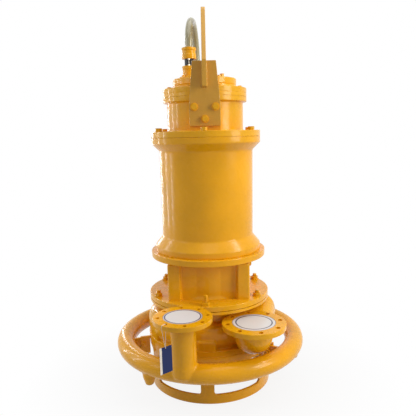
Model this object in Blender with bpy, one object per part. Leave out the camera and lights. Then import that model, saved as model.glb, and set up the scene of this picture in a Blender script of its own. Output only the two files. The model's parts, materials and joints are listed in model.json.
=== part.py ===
# Submersible slurry pump with a jet ring, a lifting frame and its power cable.
# Metres, +Z up, the pump stands on z = 0. Every piece hangs on an empty on the pump's upright axis.

import math

import bmesh
import bpy
from mathutils import Matrix, Vector

for old in list(bpy.data.objects):
    bpy.data.objects.remove(old, do_unlink=True)

# Running and seating clearances
SEAT = 0.0003
HOLE_PLAY = 0.0006

# Base skirt, the rolled plate that the pump stands on
SKIRT_INSET = 0.006
SKIRT_WALL = 0.012
SKIRT_HEIGHT = 0.2115
SKIRT_BAND = 0.045
SKIRT_TOP_BAND = 0.020
SKIRT_POST_ANGLE = 12.0
SKIRT_POSTS = 6
SKIRT_CORNER = 0.018
SKIRT_RING_WIDTH = 0.045
SKIRT_RING_THICKNESS = 0.012
CASTING_TURN = -93.0

# Suction plate and volute casing
SUCTION_PLATE_RADIUS = 0.305
SUCTION_PLATE_THICKNESS = 0.024
SUCTION_MOUTH_RADIUS = 0.088
SUCTION_LIP_HEIGHT = 0.022
CASING_FOOT_THICKNESS = 0.0262
CASING_HEIGHT = 0.2053
CASING_TOP_FLANGE = 0.014
DRUM_RADIUS = 0.208
DRUM_WALL = 0.018
THROAT_RADIUS = 0.200
SPIRAL_REACH_START = 0.298
SPIRAL_REACH_END = 0.331
SPIRAL_INNER = 0.170
SPIRAL_HALF_HEIGHT_START = 0.058
SPIRAL_HALF_HEIGHT_END = 0.090
SPIRAL_START_ANGLE = -45.0
TONGUE_ANGLE = -72.0
CASING_WALL = 0.014
FOOT_LUG_WIDTH = 0.082
FOOT_LUG_HEIGHT = 0.045

# Discharge elbow and its flange
DISCHARGE_X = 0.1963
DISCHARGE_Y = -0.2947
DISCHARGE_Z = 0.396
DISCHARGE_PIPE_RADIUS = 0.084
DISCHARGE_BORE_RADIUS = 0.075
ELBOW_BEND_RADIUS = 0.090
DISCHARGE_FLANGE_RADIUS = 0.1425
DISCHARGE_FLANGE_THICKNESS = 0.024
DISCHARGE_BOLT_CIRCLE = 0.120
DISCHARGE_HOLE_RADIUS = 0.011
DISCHARGE_DISC_RADIUS = 0.0965
DISCHARGE_TURN = 9.0
FLANGE_COVER = 0.004
ELBOW_GROUND = 0.002

# Jet ring: a pipe ring round the pump with an inlet pipe and flange
RING_RADIUS = 0.4206
RING_TUBE_RADIUS = 0.0445
RING_TUBE_WALL = 0.006
RING_Z = 0.2142
INLET_ANGLE = -105.4
INLET_Z = 0.4725
INLET_PIPE_RADIUS = 0.0545
INLET_PIPE_WALL = 0.006
INLET_FLANGE_RADIUS = 0.125
INLET_FLANGE_THICKNESS = 0.021
INLET_BOLT_CIRCLE = 0.105
INLET_HOLE_RADIUS = 0.009
INLET_DISC_RADIUS = 0.0833
INLET_TURN = 6.6
FLANGE_HOLES = 8
DISC_THICKNESS = 0.003
JET_ANGLES = (-131.0, -11.0, 109.0)
JET_TOP_RADIUS = 0.030
JET_TIP_RADIUS = 0.0176
JET_BORE_RADIUS = 0.008
JET_TIP_Z = 0.118
JET_COLLAR = 0.010
BRACKET_ANGLES = (-165.0, -33.0, 82.0)
BRACKET_THICKNESS = 0.012
BRACKET_TOP_Z = 0.250
BRACKET_BOTTOM_Z = 0.186
RING_PLATE_DROP = 0.017
BRACKET_LAP = 0.040

# Bearing frame with the oil chamber, and the motor's lower end shield
GASKET_THICKNESS = 0.002
FRAME_FLANGE_RADIUS = 0.291
FRAME_FLANGE_THICKNESS = 0.024
FRAME_HEIGHT = 0.1996
CHAMBER_RADIUS = 0.187
CHAMBER_BORE = 0.160
COLUMN_REACH_X = 0.187
COLUMN_REACH_Y = 0.198
COLUMN_WIDTH = 0.058
PORT_ANGLE = 6.0
PORT_DROP = 0.060
STUD_EDGE = 0.023
STUD_COUNT = 6
STUD_RISE = 0.030
SHIELD_RADIUS = 0.274
SHIELD_THICKNESS = 0.0285
SHIELD_HUB_DEPTH = 0.052
SHIELD_HUB_WALL = 0.016

# Motor housing
MOTOR_HEIGHT = 0.5262
MOTOR_RADIUS = 0.217
MOTOR_WALL = 0.013
MOTOR_BAND_RADIUS = 0.2517
MOTOR_BAND_HEIGHT = 0.027
MOTOR_FLARE_HEIGHT = 0.043
MOTOR_FLANGE_THICKNESS = 0.026
MOTOR_CONE_HEIGHT = 0.0345
MOTOR_BOLT_CIRCLE = 0.2355
STATOR_LENGTH = 0.260
STATOR_BORE = 0.120
WINDING_HEIGHT = 0.060
AIR_GAP = 0.0015
STATOR_RISE = 0.130
SLOT_COUNT = 9
SLOT_WIDTH = 0.016
SLOT_DEPTH = 0.024

# Upper housing, covers
UPPER_FLANGE_THICKNESS = 0.027
UPPER_RADIUS = 0.1736
UPPER_WALL = 0.0136
UPPER_HEIGHT = 0.1727
UPPER_RIM_RADIUS = 0.1899
UPPER_RIM_THICKNESS = 0.0208
TOP_COVER_THICKNESS = 0.0385
CABLE_COVER_RADIUS = 0.1438
CABLE_COVER_THICKNESS = 0.042
HOUSING_BOLTS = 6
TOP_TURN = -91.5
BOLT_RADIUS = 0.008

# Lifting frame: two side plates and the arch plate welded across them
PAD_FACE = 0.1915
PAD_WIDTH = 0.134
LIFT_PLATE_WIDTH = 0.1316
LIFT_PLATE_TOP_WIDTH = 0.099
LIFT_PLATE_THICKNESS = 0.013
LIFT_PLATE_CLEARANCE = 0.0191
LIFT_PLATE_STRAIGHT = 0.0937
LIFT_PLATE_TAPER = 0.1677
ARCH_THICKNESS = 0.018
ARCH_LEG_LENGTH = 0.1032
ARCH_LEG_STANDOFF = 0.034
ARCH_RISE = 0.2343
ARCH_TOP_HALF = 0.085
ARCH_BAR = 0.075
LIFTING_EYE_RADIUS = 0.022
LIFT_BOLT_SPREAD = 0.045
LIFT_BOLT_EDGE = 0.0292
LIFT_BOLT_PITCH = 0.049

# Cable gland and top plug
GLAND_X = -0.0668
GLAND_TOP_Z = 1.5897
GLAND_BASE_RADIUS = 0.046
GLAND_BARREL_RADIUS = 0.030
GLAND_FOLLOWER_RADIUS = 0.0325
GLAND_BARREL_HEIGHT = 0.046
GLAND_GAP = 0.030
GLAND_STUD_RADIUS = 0.0025
GROMMET_RADIUS = 0.0205
PLUG_X = 0.080

# Shaft line
SHAFT_RADIUS = 0.030
SHAFT_NOSE_RADIUS = 0.024
SHAFT_THREAD_RADIUS = 0.014
SHAFT_STUB = 0.006
BEARING_RADIUS = 0.065
BEARING_WIDTH = 0.031
BEARING_PLAY = 0.0005
BALL_RADIUS = 0.0095
CAGE_WIDTH = 0.009
SEAL_RADIUS = 0.046
SEAL_WIDTH = 0.012
IMPELLER_RADIUS = 0.150
IMPELLER_SHROUD = 0.014
IMPELLER_VANES = 4
VANE_THICKNESS = 0.011
VANE_WRAP = 95.0
RUNNING_CLEARANCE = 0.003
AGITATOR_RADIUS = 0.080
AGITATOR_BLADES = 3
AGITATOR_BLADE_HEIGHT = 0.095
AGITATOR_BOTTOM_Z = 0.085
AGITATOR_NUT = 0.018

# Power cable
CABLE_RADIUS = 0.017
COIL_MEAN_RADIUS = 0.306
COIL_X = 0.04
COIL_Y = 0.95
COIL_ENTRY_ANGLE = 215.0
COIL_GAP = 0.004
TAIL_GAP = 0.0014
TAIL_ANGLE = 20.0

# Mesh resolution
BALL_COUNT = 6
FINE_STEPS = 24
MID_STEPS = 20
SMALL_STEPS = 2 * BALL_COUNT
TINY_STEPS = 8

# Heights that follow from the sizes above
suctionZ = SKIRT_HEIGHT + SEAT
casingZ = suctionZ + SUCTION_PLATE_THICKNESS + SEAT
casingTopZ = casingZ + CASING_HEIGHT
gasketZ = casingTopZ + SEAT
frameZ = gasketZ + GASKET_THICKNESS + SEAT
frameFlangeTopZ = frameZ + FRAME_FLANGE_THICKNESS
frameTopZ = frameZ + FRAME_HEIGHT
portZ = frameTopZ - PORT_DROP
shieldZ = frameTopZ + SEAT
shieldTopZ = shieldZ + SHIELD_THICKNESS
motorZ = shieldTopZ + SEAT
motorTopZ = motorZ + MOTOR_HEIGHT
upperZ = motorTopZ + SEAT
upperFlangeTopZ = upperZ + UPPER_FLANGE_THICKNESS
upperTopZ = upperZ + UPPER_HEIGHT
topCoverZ = upperTopZ + SEAT
topCoverTopZ = topCoverZ + TOP_COVER_THICKNESS
cableCoverZ = topCoverTopZ + SEAT
cableCoverTopZ = cableCoverZ + CABLE_COVER_THICKNESS

liftPlateBottomZ = upperFlangeTopZ + LIFT_PLATE_CLEARANCE
liftPlateShoulderZ = liftPlateBottomZ + LIFT_PLATE_STRAIGHT
liftPlateTopZ = liftPlateShoulderZ + LIFT_PLATE_TAPER
archLegBottomZ = liftPlateTopZ - ARCH_LEG_LENGTH
archTopZ = liftPlateTopZ + ARCH_RISE
liftBoltLowerZ = liftPlateBottomZ + LIFT_BOLT_EDGE
liftBoltUpperZ = liftBoltLowerZ + LIFT_BOLT_PITCH
skirtRadius = SUCTION_PLATE_RADIUS - SKIRT_INSET
studCircle = FRAME_FLANGE_RADIUS - STUD_EDGE

# The inlet flange reaches past the jet ring, so the pump axis stands off the middle of the depth
inletX = RING_RADIUS * math.cos(math.radians(INLET_ANGLE))
inletY = RING_RADIUS * math.sin(math.radians(INLET_ANGLE))
ringReach = RING_RADIUS + RING_TUBE_RADIUS
frontReach = max(INLET_FLANGE_RADIUS - inletY, DISCHARGE_FLANGE_RADIUS - DISCHARGE_Y, ringReach)
AXIS_Y = (frontReach - ringReach) / 2


def polar(radius, degrees, z=0.0):
    angle = math.radians(degrees)
    return Vector((radius * math.cos(angle), radius * math.sin(angle), z))


def material(name, colour, roughness, metallic=0.0, coat=0.0):
    made = bpy.data.materials.new(name)
    made.use_nodes = True
    shader = made.node_tree.nodes["Principled BSDF"]
    shader.inputs["Base Color"].default_value = (*colour, 1.0)
    shader.inputs["Roughness"].default_value = roughness
    shader.inputs["Metallic"].default_value = metallic
    shader.inputs["Coat Weight"].default_value = coat
    made.diffuse_color = (*colour, 1.0)
    return made


enamel = material("yellow_enamel", (0.88, 0.38, 0.015), 0.22, 0.0, 0.5)
steel = material("machined_steel", (0.52, 0.52, 0.53), 0.35, 1.0)
zinc = material("plated_steel", (0.62, 0.60, 0.55), 0.4, 1.0)
chromeIron = material("high_chrome_iron", (0.30, 0.30, 0.31), 0.5, 1.0)
lamination = material("electrical_steel", (0.20, 0.20, 0.22), 0.45, 1.0)
copper = material("enamelled_copper", (0.55, 0.20, 0.06), 0.4, 1.0)
rubber = material("black_rubber", (0.03, 0.03, 0.03), 0.7)
ceramic = material("seal_ceramic", (0.75, 0.73, 0.68), 0.3)
whiteDisc = material("white_plastic", (0.85, 0.85, 0.83), 0.5)
cableSheath = material("cable_sheath", (0.22, 0.23, 0.17), 0.45)
fibre = material("gasket_fibre", (0.20, 0.22, 0.20), 0.8)


def pivot(name):
    made = bpy.data.objects.new(name, None)
    made.location = (0.0, AXIS_Y, 0.0)
    bpy.context.scene.collection.objects.link(made)
    return made


pumpAxis = pivot("pump_axis")
rotorAxis = pivot("rotor_axis")


def as_object(name, bm, finish, parent):
    mesh = bpy.data.meshes.new(name)
    bmesh.ops.recalc_face_normals(bm, faces=bm.faces)
    bm.to_mesh(mesh)
    bm.free()
    mesh.shade_smooth()
    mesh.set_sharp_from_angle(angle=math.radians(35))
    made = bpy.data.objects.new(name, mesh)
    made.parent = parent
    bpy.context.scene.collection.objects.link(made)
    if finish:
        mesh.materials.append(finish)
    return made


def piece(name, bm, finish, parent=None):
    return as_object(name, bm, finish, parent or pumpAxis)


def copies(name, bm, finish, places):
    """Numbered copies of one fastener on a shared mesh, each at its place matrix."""
    first = piece(f"{name}_1", bm, finish)
    for index, place in enumerate(places):
        copy = first if index == 0 else bpy.data.objects.new(f"{name}_{index + 1}", first.data)
        if index:
            copy.parent = pumpAxis
            bpy.context.scene.collection.objects.link(copy)
        copy.matrix_local = place


def on_circle(count, radius, turn, z):
    """Place matrices at even angles on a bolt circle."""
    spots = []
    for index in range(count):
        angle = turn + index * 360.0 / count
        spin = Matrix.Rotation(math.radians(angle), 4, "Z")
        spots.append(Matrix.Translation(polar(radius, angle, z)) @ spin)
    return spots


def combine(target, bm, operation, name):
    """Adds a Boolean of a hidden helper mesh to the piece."""
    helper = as_object(name, bm, None, target.parent)
    helper.hide_render = True
    helper.display_type = "WIRE"
    modifier = target.modifiers.new(name, "BOOLEAN")
    modifier.operation = operation
    modifier.solver = "EXACT"
    modifier.object = helper


def join(target, bm, name):
    combine(target, bm, "UNION", name)


def cut(target, bm, name):
    combine(target, bm, "DIFFERENCE", name)


def moved(bm, offset=(0, 0, 0), turn=0.0, tilt=None):
    """Turns a mesh about Z, after an optional tilt matrix, and then moves it."""
    matrix = Matrix.Translation(Vector(offset)) @ Matrix.Rotation(math.radians(turn), 4, "Z")
    if tilt:
        matrix = matrix @ tilt
    bmesh.ops.transform(bm, matrix=matrix, verts=bm.verts)
    return bm


def merged(meshes):
    """One mesh that holds several separate bodies."""
    whole = bmesh.new()
    for bm in meshes:
        part = bpy.data.meshes.new("part")
        bmesh.ops.recalc_face_normals(bm, faces=bm.faces)
        bm.to_mesh(part)
        bm.free()
        whole.from_mesh(part)
        bpy.data.meshes.remove(part)
    return whole


def turned(profile, steps, closed=True, phase=0.0):
    """Spins an (r, z) outline about the axis. An open outline starts and ends on the axis."""
    bm = bmesh.new()
    points = [bm.verts.new(polar(r, phase, z)) for r, z in profile]
    edges = [bm.edges.new(pair) for pair in zip(points, points[1:])]
    if closed:
        edges.append(bm.edges.new((points[-1], points[0])))
    bmesh.ops.spin(
        bm,
        geom=points + edges,
        cent=(0, 0, 0),
        axis=(0, 0, 1),
        angle=math.tau,
        steps=steps,
        use_merge=True,
    )
    bmesh.ops.remove_doubles(bm, verts=bm.verts, dist=1e-6)
    if not closed:
        centres = [vert for vert in bm.verts if vert.co.to_2d().length < 1e-6]
        bmesh.ops.dissolve_verts(bm, verts=centres)
    bmesh.ops.recalc_face_normals(bm, faces=bm.faces)
    return bm


def ring(inner, outer, low, high, steps):
    return turned([(outer, high), (outer, low), (inner, low), (inner, high)], steps)


def rod(radius, low, high, steps=8, phase=0.0):
    return turned([(0, high), (radius, high), (radius, low), (0, low)], steps, False, phase)


def prism(outline, low, high):
    """Extrudes an (x, y) outline along Z."""
    bm = bmesh.new()
    face = bm.faces.new([bm.verts.new((x, y, low)) for x, y in outline])
    top = bmesh.ops.extrude_face_region(bm, geom=[face])
    moving = [item for item in top["geom"] if isinstance(item, bmesh.types.BMVert)]
    bmesh.ops.translate(bm, verts=moving, vec=(0, 0, high - low))
    bmesh.ops.recalc_face_normals(bm, faces=bm.faces)
    return bm


def slab(low, high):
    """A block between two corners."""
    (x0, y0, z0), (x1, y1, z1) = low, high
    return prism([(x0, y0), (x1, y0), (x1, y1), (x0, y1)], z0, z1)


def lofted(rings):
    """Skins a row of equal closed rings and caps both ends."""
    bm = bmesh.new()
    rows = [[bm.verts.new(point) for point in points] for points in rings]
    for row, following in zip(rows, rows[1:]):
        for i in range(len(row)):
            j = (i + 1) % len(row)
            bm.faces.new((row[i], row[j], following[j], following[i]))
    bm.faces.new(rows[0])
    bm.faces.new(rows[-1])
    bmesh.ops.recalc_face_normals(bm, faces=bm.faces)
    return bm


def circle_of(count, radius, turn, make):
    """Copies of one made mesh at even angles on a bolt circle."""
    copies = []
    for index in range(count):
        angle = turn + index * 360.0 / count
        copies.append(moved(make(), polar(radius, angle), angle))
    return merged(copies)


def holes(count, circle, turn, radius, low, high):
    bore = (radius + HOLE_PLAY) / math.cos(math.pi / 8)
    return circle_of(count, circle, turn, lambda: rod(bore, low, high))


def hex_bolt(shank, head, rise, depth):
    """Hexagon head that stands on z = 0, with its shank below."""
    profile = [
        (0, rise),
        (head, rise),
        (head, SEAT),
        (shank, SEAT),
        (shank, -depth),
        (0, -depth),
    ]
    return turned(profile, 6, False, 30)


def stud_and_nut(shank, head, nut, rise, depth):
    """Stud through a flange whose top is z = 0, with its nut screwed down on it."""
    profile = [
        (0, rise),
        (shank, rise),
        (shank, nut),
        (head, nut),
        (head, SEAT),
        (shank, SEAT),
        (shank, -depth),
        (0, -depth),
    ]
    return turned(profile, 6, False, 30)


# Base skirt: a rolled band with six windows, and the bolting ring inside its top edge
def make_base_skirt():
    inner = skirtRadius - SKIRT_WALL
    ringInner = inner - SKIRT_RING_WIDTH
    ringZ = SKIRT_HEIGHT - SKIRT_RING_THICKNESS
    outline = [
        (skirtRadius, SKIRT_HEIGHT),
        (skirtRadius, 0),
        (inner, 0),
        (inner, ringZ),
        (ringInner, ringZ),
        (ringInner, SKIRT_HEIGHT),
    ]
    skirt = piece("base_skirt", turned(outline, FINE_STEPS + 8), enamel)
    pitch = 360.0 / SKIRT_POSTS
    halfWidth = skirtRadius * math.sin(math.radians((pitch - SKIRT_POST_ANGLE) / 2))
    low, high = SKIRT_BAND, SKIRT_HEIGHT - SKIRT_TOP_BAND
    outline = []
    for cx, cz, first in (
        (halfWidth - SKIRT_CORNER, high - SKIRT_CORNER, 0),
        (SKIRT_CORNER - halfWidth, high - SKIRT_CORNER, 90),
        (SKIRT_CORNER - halfWidth, low + SKIRT_CORNER, 180),
        (halfWidth - SKIRT_CORNER, low + SKIRT_CORNER, 270),
    ):
        for step in range(3):
            corner = polar(SKIRT_CORNER, first + 45 * step)
            outline.append((cx + corner.x, cz + corner.y))
    upright = Matrix.Rotation(math.radians(90), 4, "X")
    reach = skirtRadius + 0.02
    windows = []
    for index in range(SKIRT_POSTS):
        turn = CASTING_TURN + pitch * (index + 0.5) - 90
        start = inner * math.cos(math.radians(pitch / 2)) - 0.04
        windows.append(moved(prism(outline, -reach, -start), (0, 0, 0), turn, upright))
    for index, window in enumerate(windows):
        cut(skirt, window, f"window_{index}")


def make_suction_plate():
    top = suctionZ + SUCTION_PLATE_THICKNESS
    lipRadius = SUCTION_MOUTH_RADIUS + 0.016
    outline = [
        (SUCTION_PLATE_RADIUS, top),
        (SUCTION_PLATE_RADIUS, suctionZ),
        (lipRadius + 0.012, suctionZ),
        (lipRadius, suctionZ - SUCTION_LIP_HEIGHT),
        (SUCTION_MOUTH_RADIUS, suctionZ - SUCTION_LIP_HEIGHT),
        (SUCTION_MOUTH_RADIUS, top),
    ]
    piece("suction_plate", turned(outline, FINE_STEPS), enamel)


# Volute: a channel that widens clockwise round the drum and leaves through the elbow
channelBottomZ = casingZ + 0.006
spiralZ = channelBottomZ + SPIRAL_HALF_HEIGHT_END
elbowEndZ = DISCHARGE_Z - FLANGE_COVER
elbowZ = elbowEndZ - ELBOW_BEND_RADIUS
elbowStartY = DISCHARGE_Y + ELBOW_BEND_RADIUS


def channel_section(angle, wall, sides):
    """One section of the spiral channel, in the radial plane at this angle."""
    share = (SPIRAL_START_ANGLE - angle) / (360.0 + SPIRAL_START_ANGLE)
    reach = SPIRAL_REACH_START + (SPIRAL_REACH_END - SPIRAL_REACH_START) * share
    rise = SPIRAL_HALF_HEIGHT_START + (SPIRAL_HALF_HEIGHT_END - SPIRAL_HALF_HEIGHT_START) * share
    middle = (reach + SPIRAL_INNER) / 2
    points = []
    for side in range(sides):
        bearing = math.tau * (side + 0.5) / sides
        across = math.copysign(abs(math.cos(bearing)) ** 0.75, math.cos(bearing))
        along = math.copysign(abs(math.sin(bearing)) ** 0.75, math.sin(bearing))
        radius = middle + (reach - middle - wall) * across
        points.append(polar(radius, angle, channelBottomZ + rise + (rise - wall) * along))
    return points


def spiral_rings(sides, wall, first, last, steps):
    """Sections of the volute channel from one angle to another, clockwise round the drum."""
    return [channel_section(first + (last - first) * step / steps, wall, sides) for step in range(steps + 1)]


def outlet_rings(sides, wall, radius, overrun):
    """Sections from the end of the spiral, over the foot flange as a low oval, then round up the elbow."""
    last = channel_section(-360.0, wall, sides)
    start = Vector(((SPIRAL_REACH_END + SPIRAL_INNER) / 2, 0, spiralZ))
    end = Vector((DISCHARGE_X, elbowStartY, elbowZ))
    oval = elbowZ - casingZ - ELBOW_GROUND - wall

    def rim(centre, height):
        points = []
        for side in range(sides):
            bearing = math.tau * (side + 0.5) / sides
            points.append(centre + Vector((radius * math.cos(bearing), 0, height * math.sin(bearing))))
        return points

    rings = []
    for share in (0.5, 1.0):
        centre = start.lerp(end, share)
        shift = centre - start
        rings.append([(p + shift).lerp(q, share) for p, q in zip(last, rim(centre, oval))])
    hinge = Vector((DISCHARGE_X, elbowStartY, elbowEndZ))
    for degrees in (18, 36, 54, 72, 90):
        turn = Matrix.Rotation(math.radians(-degrees), 3, "X")
        height = oval + (radius - oval) * degrees / 90
        rings.append([turn @ (point - hinge) + hinge for point in rim(end, height)])
    if overrun:
        rings.append([point + Vector((0, 0, overrun)) for point in rings[-1]])
    return rings


def make_volute_casing():
    foot = casingZ + CASING_FOOT_THICKNESS
    flange = casingTopZ - CASING_TOP_FLANGE
    shoulder = casingTopZ - 0.088
    bore = DRUM_RADIUS - DRUM_WALL
    outline = [
        (FRAME_FLANGE_RADIUS, casingTopZ),
        (FRAME_FLANGE_RADIUS, flange),
        (DRUM_RADIUS + 0.010, flange),
        (DRUM_RADIUS, flange - 0.012),
        (DRUM_RADIUS, foot),
        (SUCTION_PLATE_RADIUS, foot),
        (SUCTION_PLATE_RADIUS, casingZ),
        (bore - 0.022, casingZ),
        (bore - 0.022, casingTopZ),
    ]
    casing = piece("volute_casing", turned(outline, FINE_STEPS), enamel)
    lugFace = SUCTION_PLATE_RADIUS
    lugs = []
    for index in range(SKIRT_POSTS):
        block = slab(
            (DRUM_RADIUS - 0.01, -FOOT_LUG_WIDTH / 2, foot - 0.01),
            (lugFace - 0.004, FOOT_LUG_WIDTH / 2, foot + FOOT_LUG_HEIGHT),
        )
        lugs.append(moved(block, (0, 0, 0), CASTING_TURN + 360.0 / SKIRT_POSTS * index))
    join(casing, merged(lugs), "foot_lugs")
    ears = []
    for angle in BRACKET_ANGLES:
        ears.append(moved(bracket_plate(casing_ear_outline(), 0.0), (0, 0, 0), angle))
    join(casing, merged(ears), "bracket_ears")
    outside = spiral_rings(12, 0.0, TONGUE_ANGLE + 2, -360.0, 18)
    outside += outlet_rings(12, 0.0, DISCHARGE_PIPE_RADIUS, 0.0)
    join(casing, lofted(outside), "channel_outside")
    tongue = spiral_rings(12, 0.0006, SPIRAL_START_ANGLE, TONGUE_ANGLE - 4, 2)
    join(casing, lofted(tongue), "tongue")
    flangeDisc = rod(DISCHARGE_FLANGE_RADIUS, -DISCHARGE_FLANGE_THICKNESS, 0, MID_STEPS + 4)
    join(casing, moved(flangeDisc, (DISCHARGE_X, DISCHARGE_Y, DISCHARGE_Z)), "discharge_flange")
    inside = spiral_rings(10, CASING_WALL, TONGUE_ANGLE, -360.0, 15)
    inside += outlet_rings(10, CASING_WALL, DISCHARGE_BORE_RADIUS, 0.03)
    cut(casing, lofted(inside), "channel_inside")
    throat = rod(THROAT_RADIUS, foot + 0.004, shoulder - 0.006, MID_STEPS)
    cut(casing, throat, "throat")
    core = [
        (0, casingTopZ + 0.02),
        (bore, casingTopZ + 0.02),
        (bore, shoulder),
        (bore - 0.015, shoulder),
        (bore - 0.015, casingZ - 0.02),
        (0, casingZ - 0.02),
    ]
    cut(casing, turned(core, FINE_STEPS, False), "drum_bore")
    recess = rod(DISCHARGE_DISC_RADIUS + SEAT, -DISC_THICKNESS - SEAT, 0.02, MID_STEPS)
    cut(casing, moved(recess, (DISCHARGE_X, DISCHARGE_Y, DISCHARGE_Z)), "disc_recess")
    bores = holes(
        FLANGE_HOLES, DISCHARGE_BOLT_CIRCLE, DISCHARGE_TURN, DISCHARGE_HOLE_RADIUS, -0.06, 0.02
    )
    cut(casing, moved(bores, (DISCHARGE_X, DISCHARGE_Y, DISCHARGE_Z)), "discharge_holes")
    studBores = holes(STUD_COUNT, studCircle, CASTING_TURN, BOLT_RADIUS, flange - 0.02, casingTopZ + 0.02)
    cut(casing, studBores, "stud_holes")
    cut(casing, bracket_bolt_holes(), "ear_holes")


# Brackets that carry the jet ring on the casing: lapped radial plates with one bolt each
bracketBoltR = SUCTION_PLATE_RADIUS + 0.012 + BRACKET_LAP / 2
bracketBoltZ = (BRACKET_TOP_Z - RING_PLATE_DROP + BRACKET_BOTTOM_Z) / 2


def casing_ear_outline():
    outside = SUCTION_PLATE_RADIUS + 0.003
    return [
        (SUCTION_PLATE_RADIUS - 0.012, casingZ + 0.001),
        (outside, casingZ + 0.001),
        (outside, BRACKET_BOTTOM_Z),
        (outside + BRACKET_LAP + 0.006, BRACKET_BOTTOM_Z),
        (outside + BRACKET_LAP + 0.006, BRACKET_TOP_Z),
        (SUCTION_PLATE_RADIUS - 0.012, BRACKET_TOP_Z),
    ]


def bracket_plate(outline, offset):
    """A plate in the radial plane, from an (r, z) outline, beside that plane by the offset."""
    upright = Matrix.Rotation(math.radians(90), 4, "X")
    low = offset - BRACKET_THICKNESS / 2
    return moved(prism(outline, low, low + BRACKET_THICKNESS), (0, 0, 0), 0, upright)


def bracket_bolt_holes():
    sideways = Matrix.Rotation(math.radians(90), 4, "X")
    bore = (BOLT_RADIUS + HOLE_PLAY) / math.cos(math.pi / 8)
    bores = []
    for angle in BRACKET_ANGLES:
        hole = moved(rod(bore, -0.05, 0.05), (bracketBoltR, 0, bracketBoltZ), 0, sideways)
        bores.append(moved(hole, (0, 0, 0), angle))
    return merged(bores)


def make_bracket_bolts():
    stack = 2 * BRACKET_THICKNESS + SEAT
    outline = [
        (0, 0.010),
        (0.0139, 0.010),
        (0.0139, SEAT),
        (BOLT_RADIUS, SEAT),
        (BOLT_RADIUS, -stack - SEAT),
        (0.0139, -stack - SEAT),
        (0.0139, -stack - 0.013),
        (BOLT_RADIUS, -stack - 0.013),
        (BOLT_RADIUS, -stack - 0.019),
        (0, -stack - 0.019),
    ]
    sideways = Matrix.Rotation(math.radians(-90), 4, "X")
    places = []
    for angle in BRACKET_ANGLES:
        spin = Matrix.Rotation(math.radians(angle), 4, "Z")
        spot = Matrix.Translation((bracketBoltR, BRACKET_THICKNESS / 2, bracketBoltZ))
        places.append(spin @ spot @ sideways)
    copies("bracket_bolt", turned(outline, 6, False), zinc, places)


# Jet ring
def tube_ring(radius, steps, sides):
    bm = bmesh.new()
    section = bmesh.ops.create_circle(bm, segments=sides, radius=radius)
    lying = Matrix.Rotation(math.pi / 2, 4, "X") @ Matrix.Rotation(math.pi / 2, 4, "Z")
    upright = Matrix.Translation((RING_RADIUS, 0, RING_Z)) @ lying
    bmesh.ops.transform(bm, matrix=upright, verts=section["verts"])
    bmesh.ops.spin(
        bm,
        geom=list(bm.verts) + list(bm.edges),
        cent=(0, 0, 0),
        axis=(0, 0, 1),
        angle=math.tau,
        steps=steps,
        use_merge=True,
    )
    bmesh.ops.recalc_face_normals(bm, faces=bm.faces)
    return bm


def make_ring_manifold():
    manifold = piece("ring_manifold", tube_ring(RING_TUBE_RADIUS, 36, 12), enamel)
    inlet = (inletX, inletY, 0)
    neck = INLET_Z - INLET_FLANGE_THICKNESS
    outline = [
        (0, INLET_Z),
        (INLET_FLANGE_RADIUS, INLET_Z),
        (INLET_FLANGE_RADIUS, neck),
        (INLET_PIPE_RADIUS, neck),
        (INLET_PIPE_RADIUS, RING_Z),
        (0, RING_Z),
    ]
    join(manifold, moved(turned(outline, MID_STEPS + 4, False), inlet), "inlet_pipe")
    plates = []
    inside = SUCTION_PLATE_RADIUS + 0.012
    for angle in BRACKET_ANGLES:
        outline = [
            (inside, BRACKET_BOTTOM_Z),
            (RING_RADIUS - 0.02, BRACKET_BOTTOM_Z),
            (RING_RADIUS - 0.02, BRACKET_TOP_Z - RING_PLATE_DROP),
            (inside, BRACKET_TOP_Z - RING_PLATE_DROP),
        ]
        plate = bracket_plate(outline, BRACKET_THICKNESS + SEAT)
        plates.append(moved(plate, (0, 0, 0), angle))
    join(manifold, merged(plates), "ring_plates")
    top = RING_Z - RING_TUBE_RADIUS
    seat = RING_Z - JET_TOP_RADIUS
    nozzle = [
        (0, seat),
        (JET_TOP_RADIUS, seat),
        (JET_TOP_RADIUS, top - JET_COLLAR),
        (JET_TIP_RADIUS, JET_TIP_Z),
        (0, JET_TIP_Z),
    ]
    nozzles = [moved(turned(nozzle, TINY_STEPS, False), polar(RING_RADIUS, angle)) for angle in JET_ANGLES]
    join(manifold, merged(nozzles), "jet_nozzles")
    cut(manifold, bracket_bolt_holes(), "plate_holes")
    cut(manifold, tube_ring(RING_TUBE_RADIUS - RING_TUBE_WALL, 36, 8), "ring_bore")
    bore = rod(INLET_PIPE_RADIUS - INLET_PIPE_WALL, RING_Z, INLET_Z + 0.02, SMALL_STEPS)
    cut(manifold, moved(bore, inlet), "inlet_bore")
    recess = rod(INLET_DISC_RADIUS + SEAT, INLET_Z - DISC_THICKNESS - SEAT, INLET_Z + 0.02, MID_STEPS)
    cut(manifold, moved(recess, inlet), "disc_recess")
    bolting = holes(FLANGE_HOLES, INLET_BOLT_CIRCLE, INLET_TURN, INLET_HOLE_RADIUS, neck - 0.02, INLET_Z + 0.02)
    cut(manifold, moved(bolting, inlet), "inlet_holes")
    bores = []
    for angle in JET_ANGLES:
        jet = rod(JET_BORE_RADIUS, JET_TIP_Z - 0.02, RING_Z, TINY_STEPS)
        bores.append(moved(jet, polar(RING_RADIUS, angle)))
    cut(manifold, merged(bores), "jet_bores")


def make_cover_discs():
    low = INLET_Z - DISC_THICKNESS
    inlet = moved(rod(INLET_DISC_RADIUS, low, INLET_Z - SEAT, MID_STEPS), (inletX, inletY, 0))
    piece("inlet_cover_disc", inlet, whiteDisc)
    low = DISCHARGE_Z - DISC_THICKNESS
    discharge = rod(DISCHARGE_DISC_RADIUS, low, DISCHARGE_Z - SEAT, MID_STEPS)
    piece("discharge_cover_disc", moved(discharge, (DISCHARGE_X, DISCHARGE_Y, 0)), whiteDisc)


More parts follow.
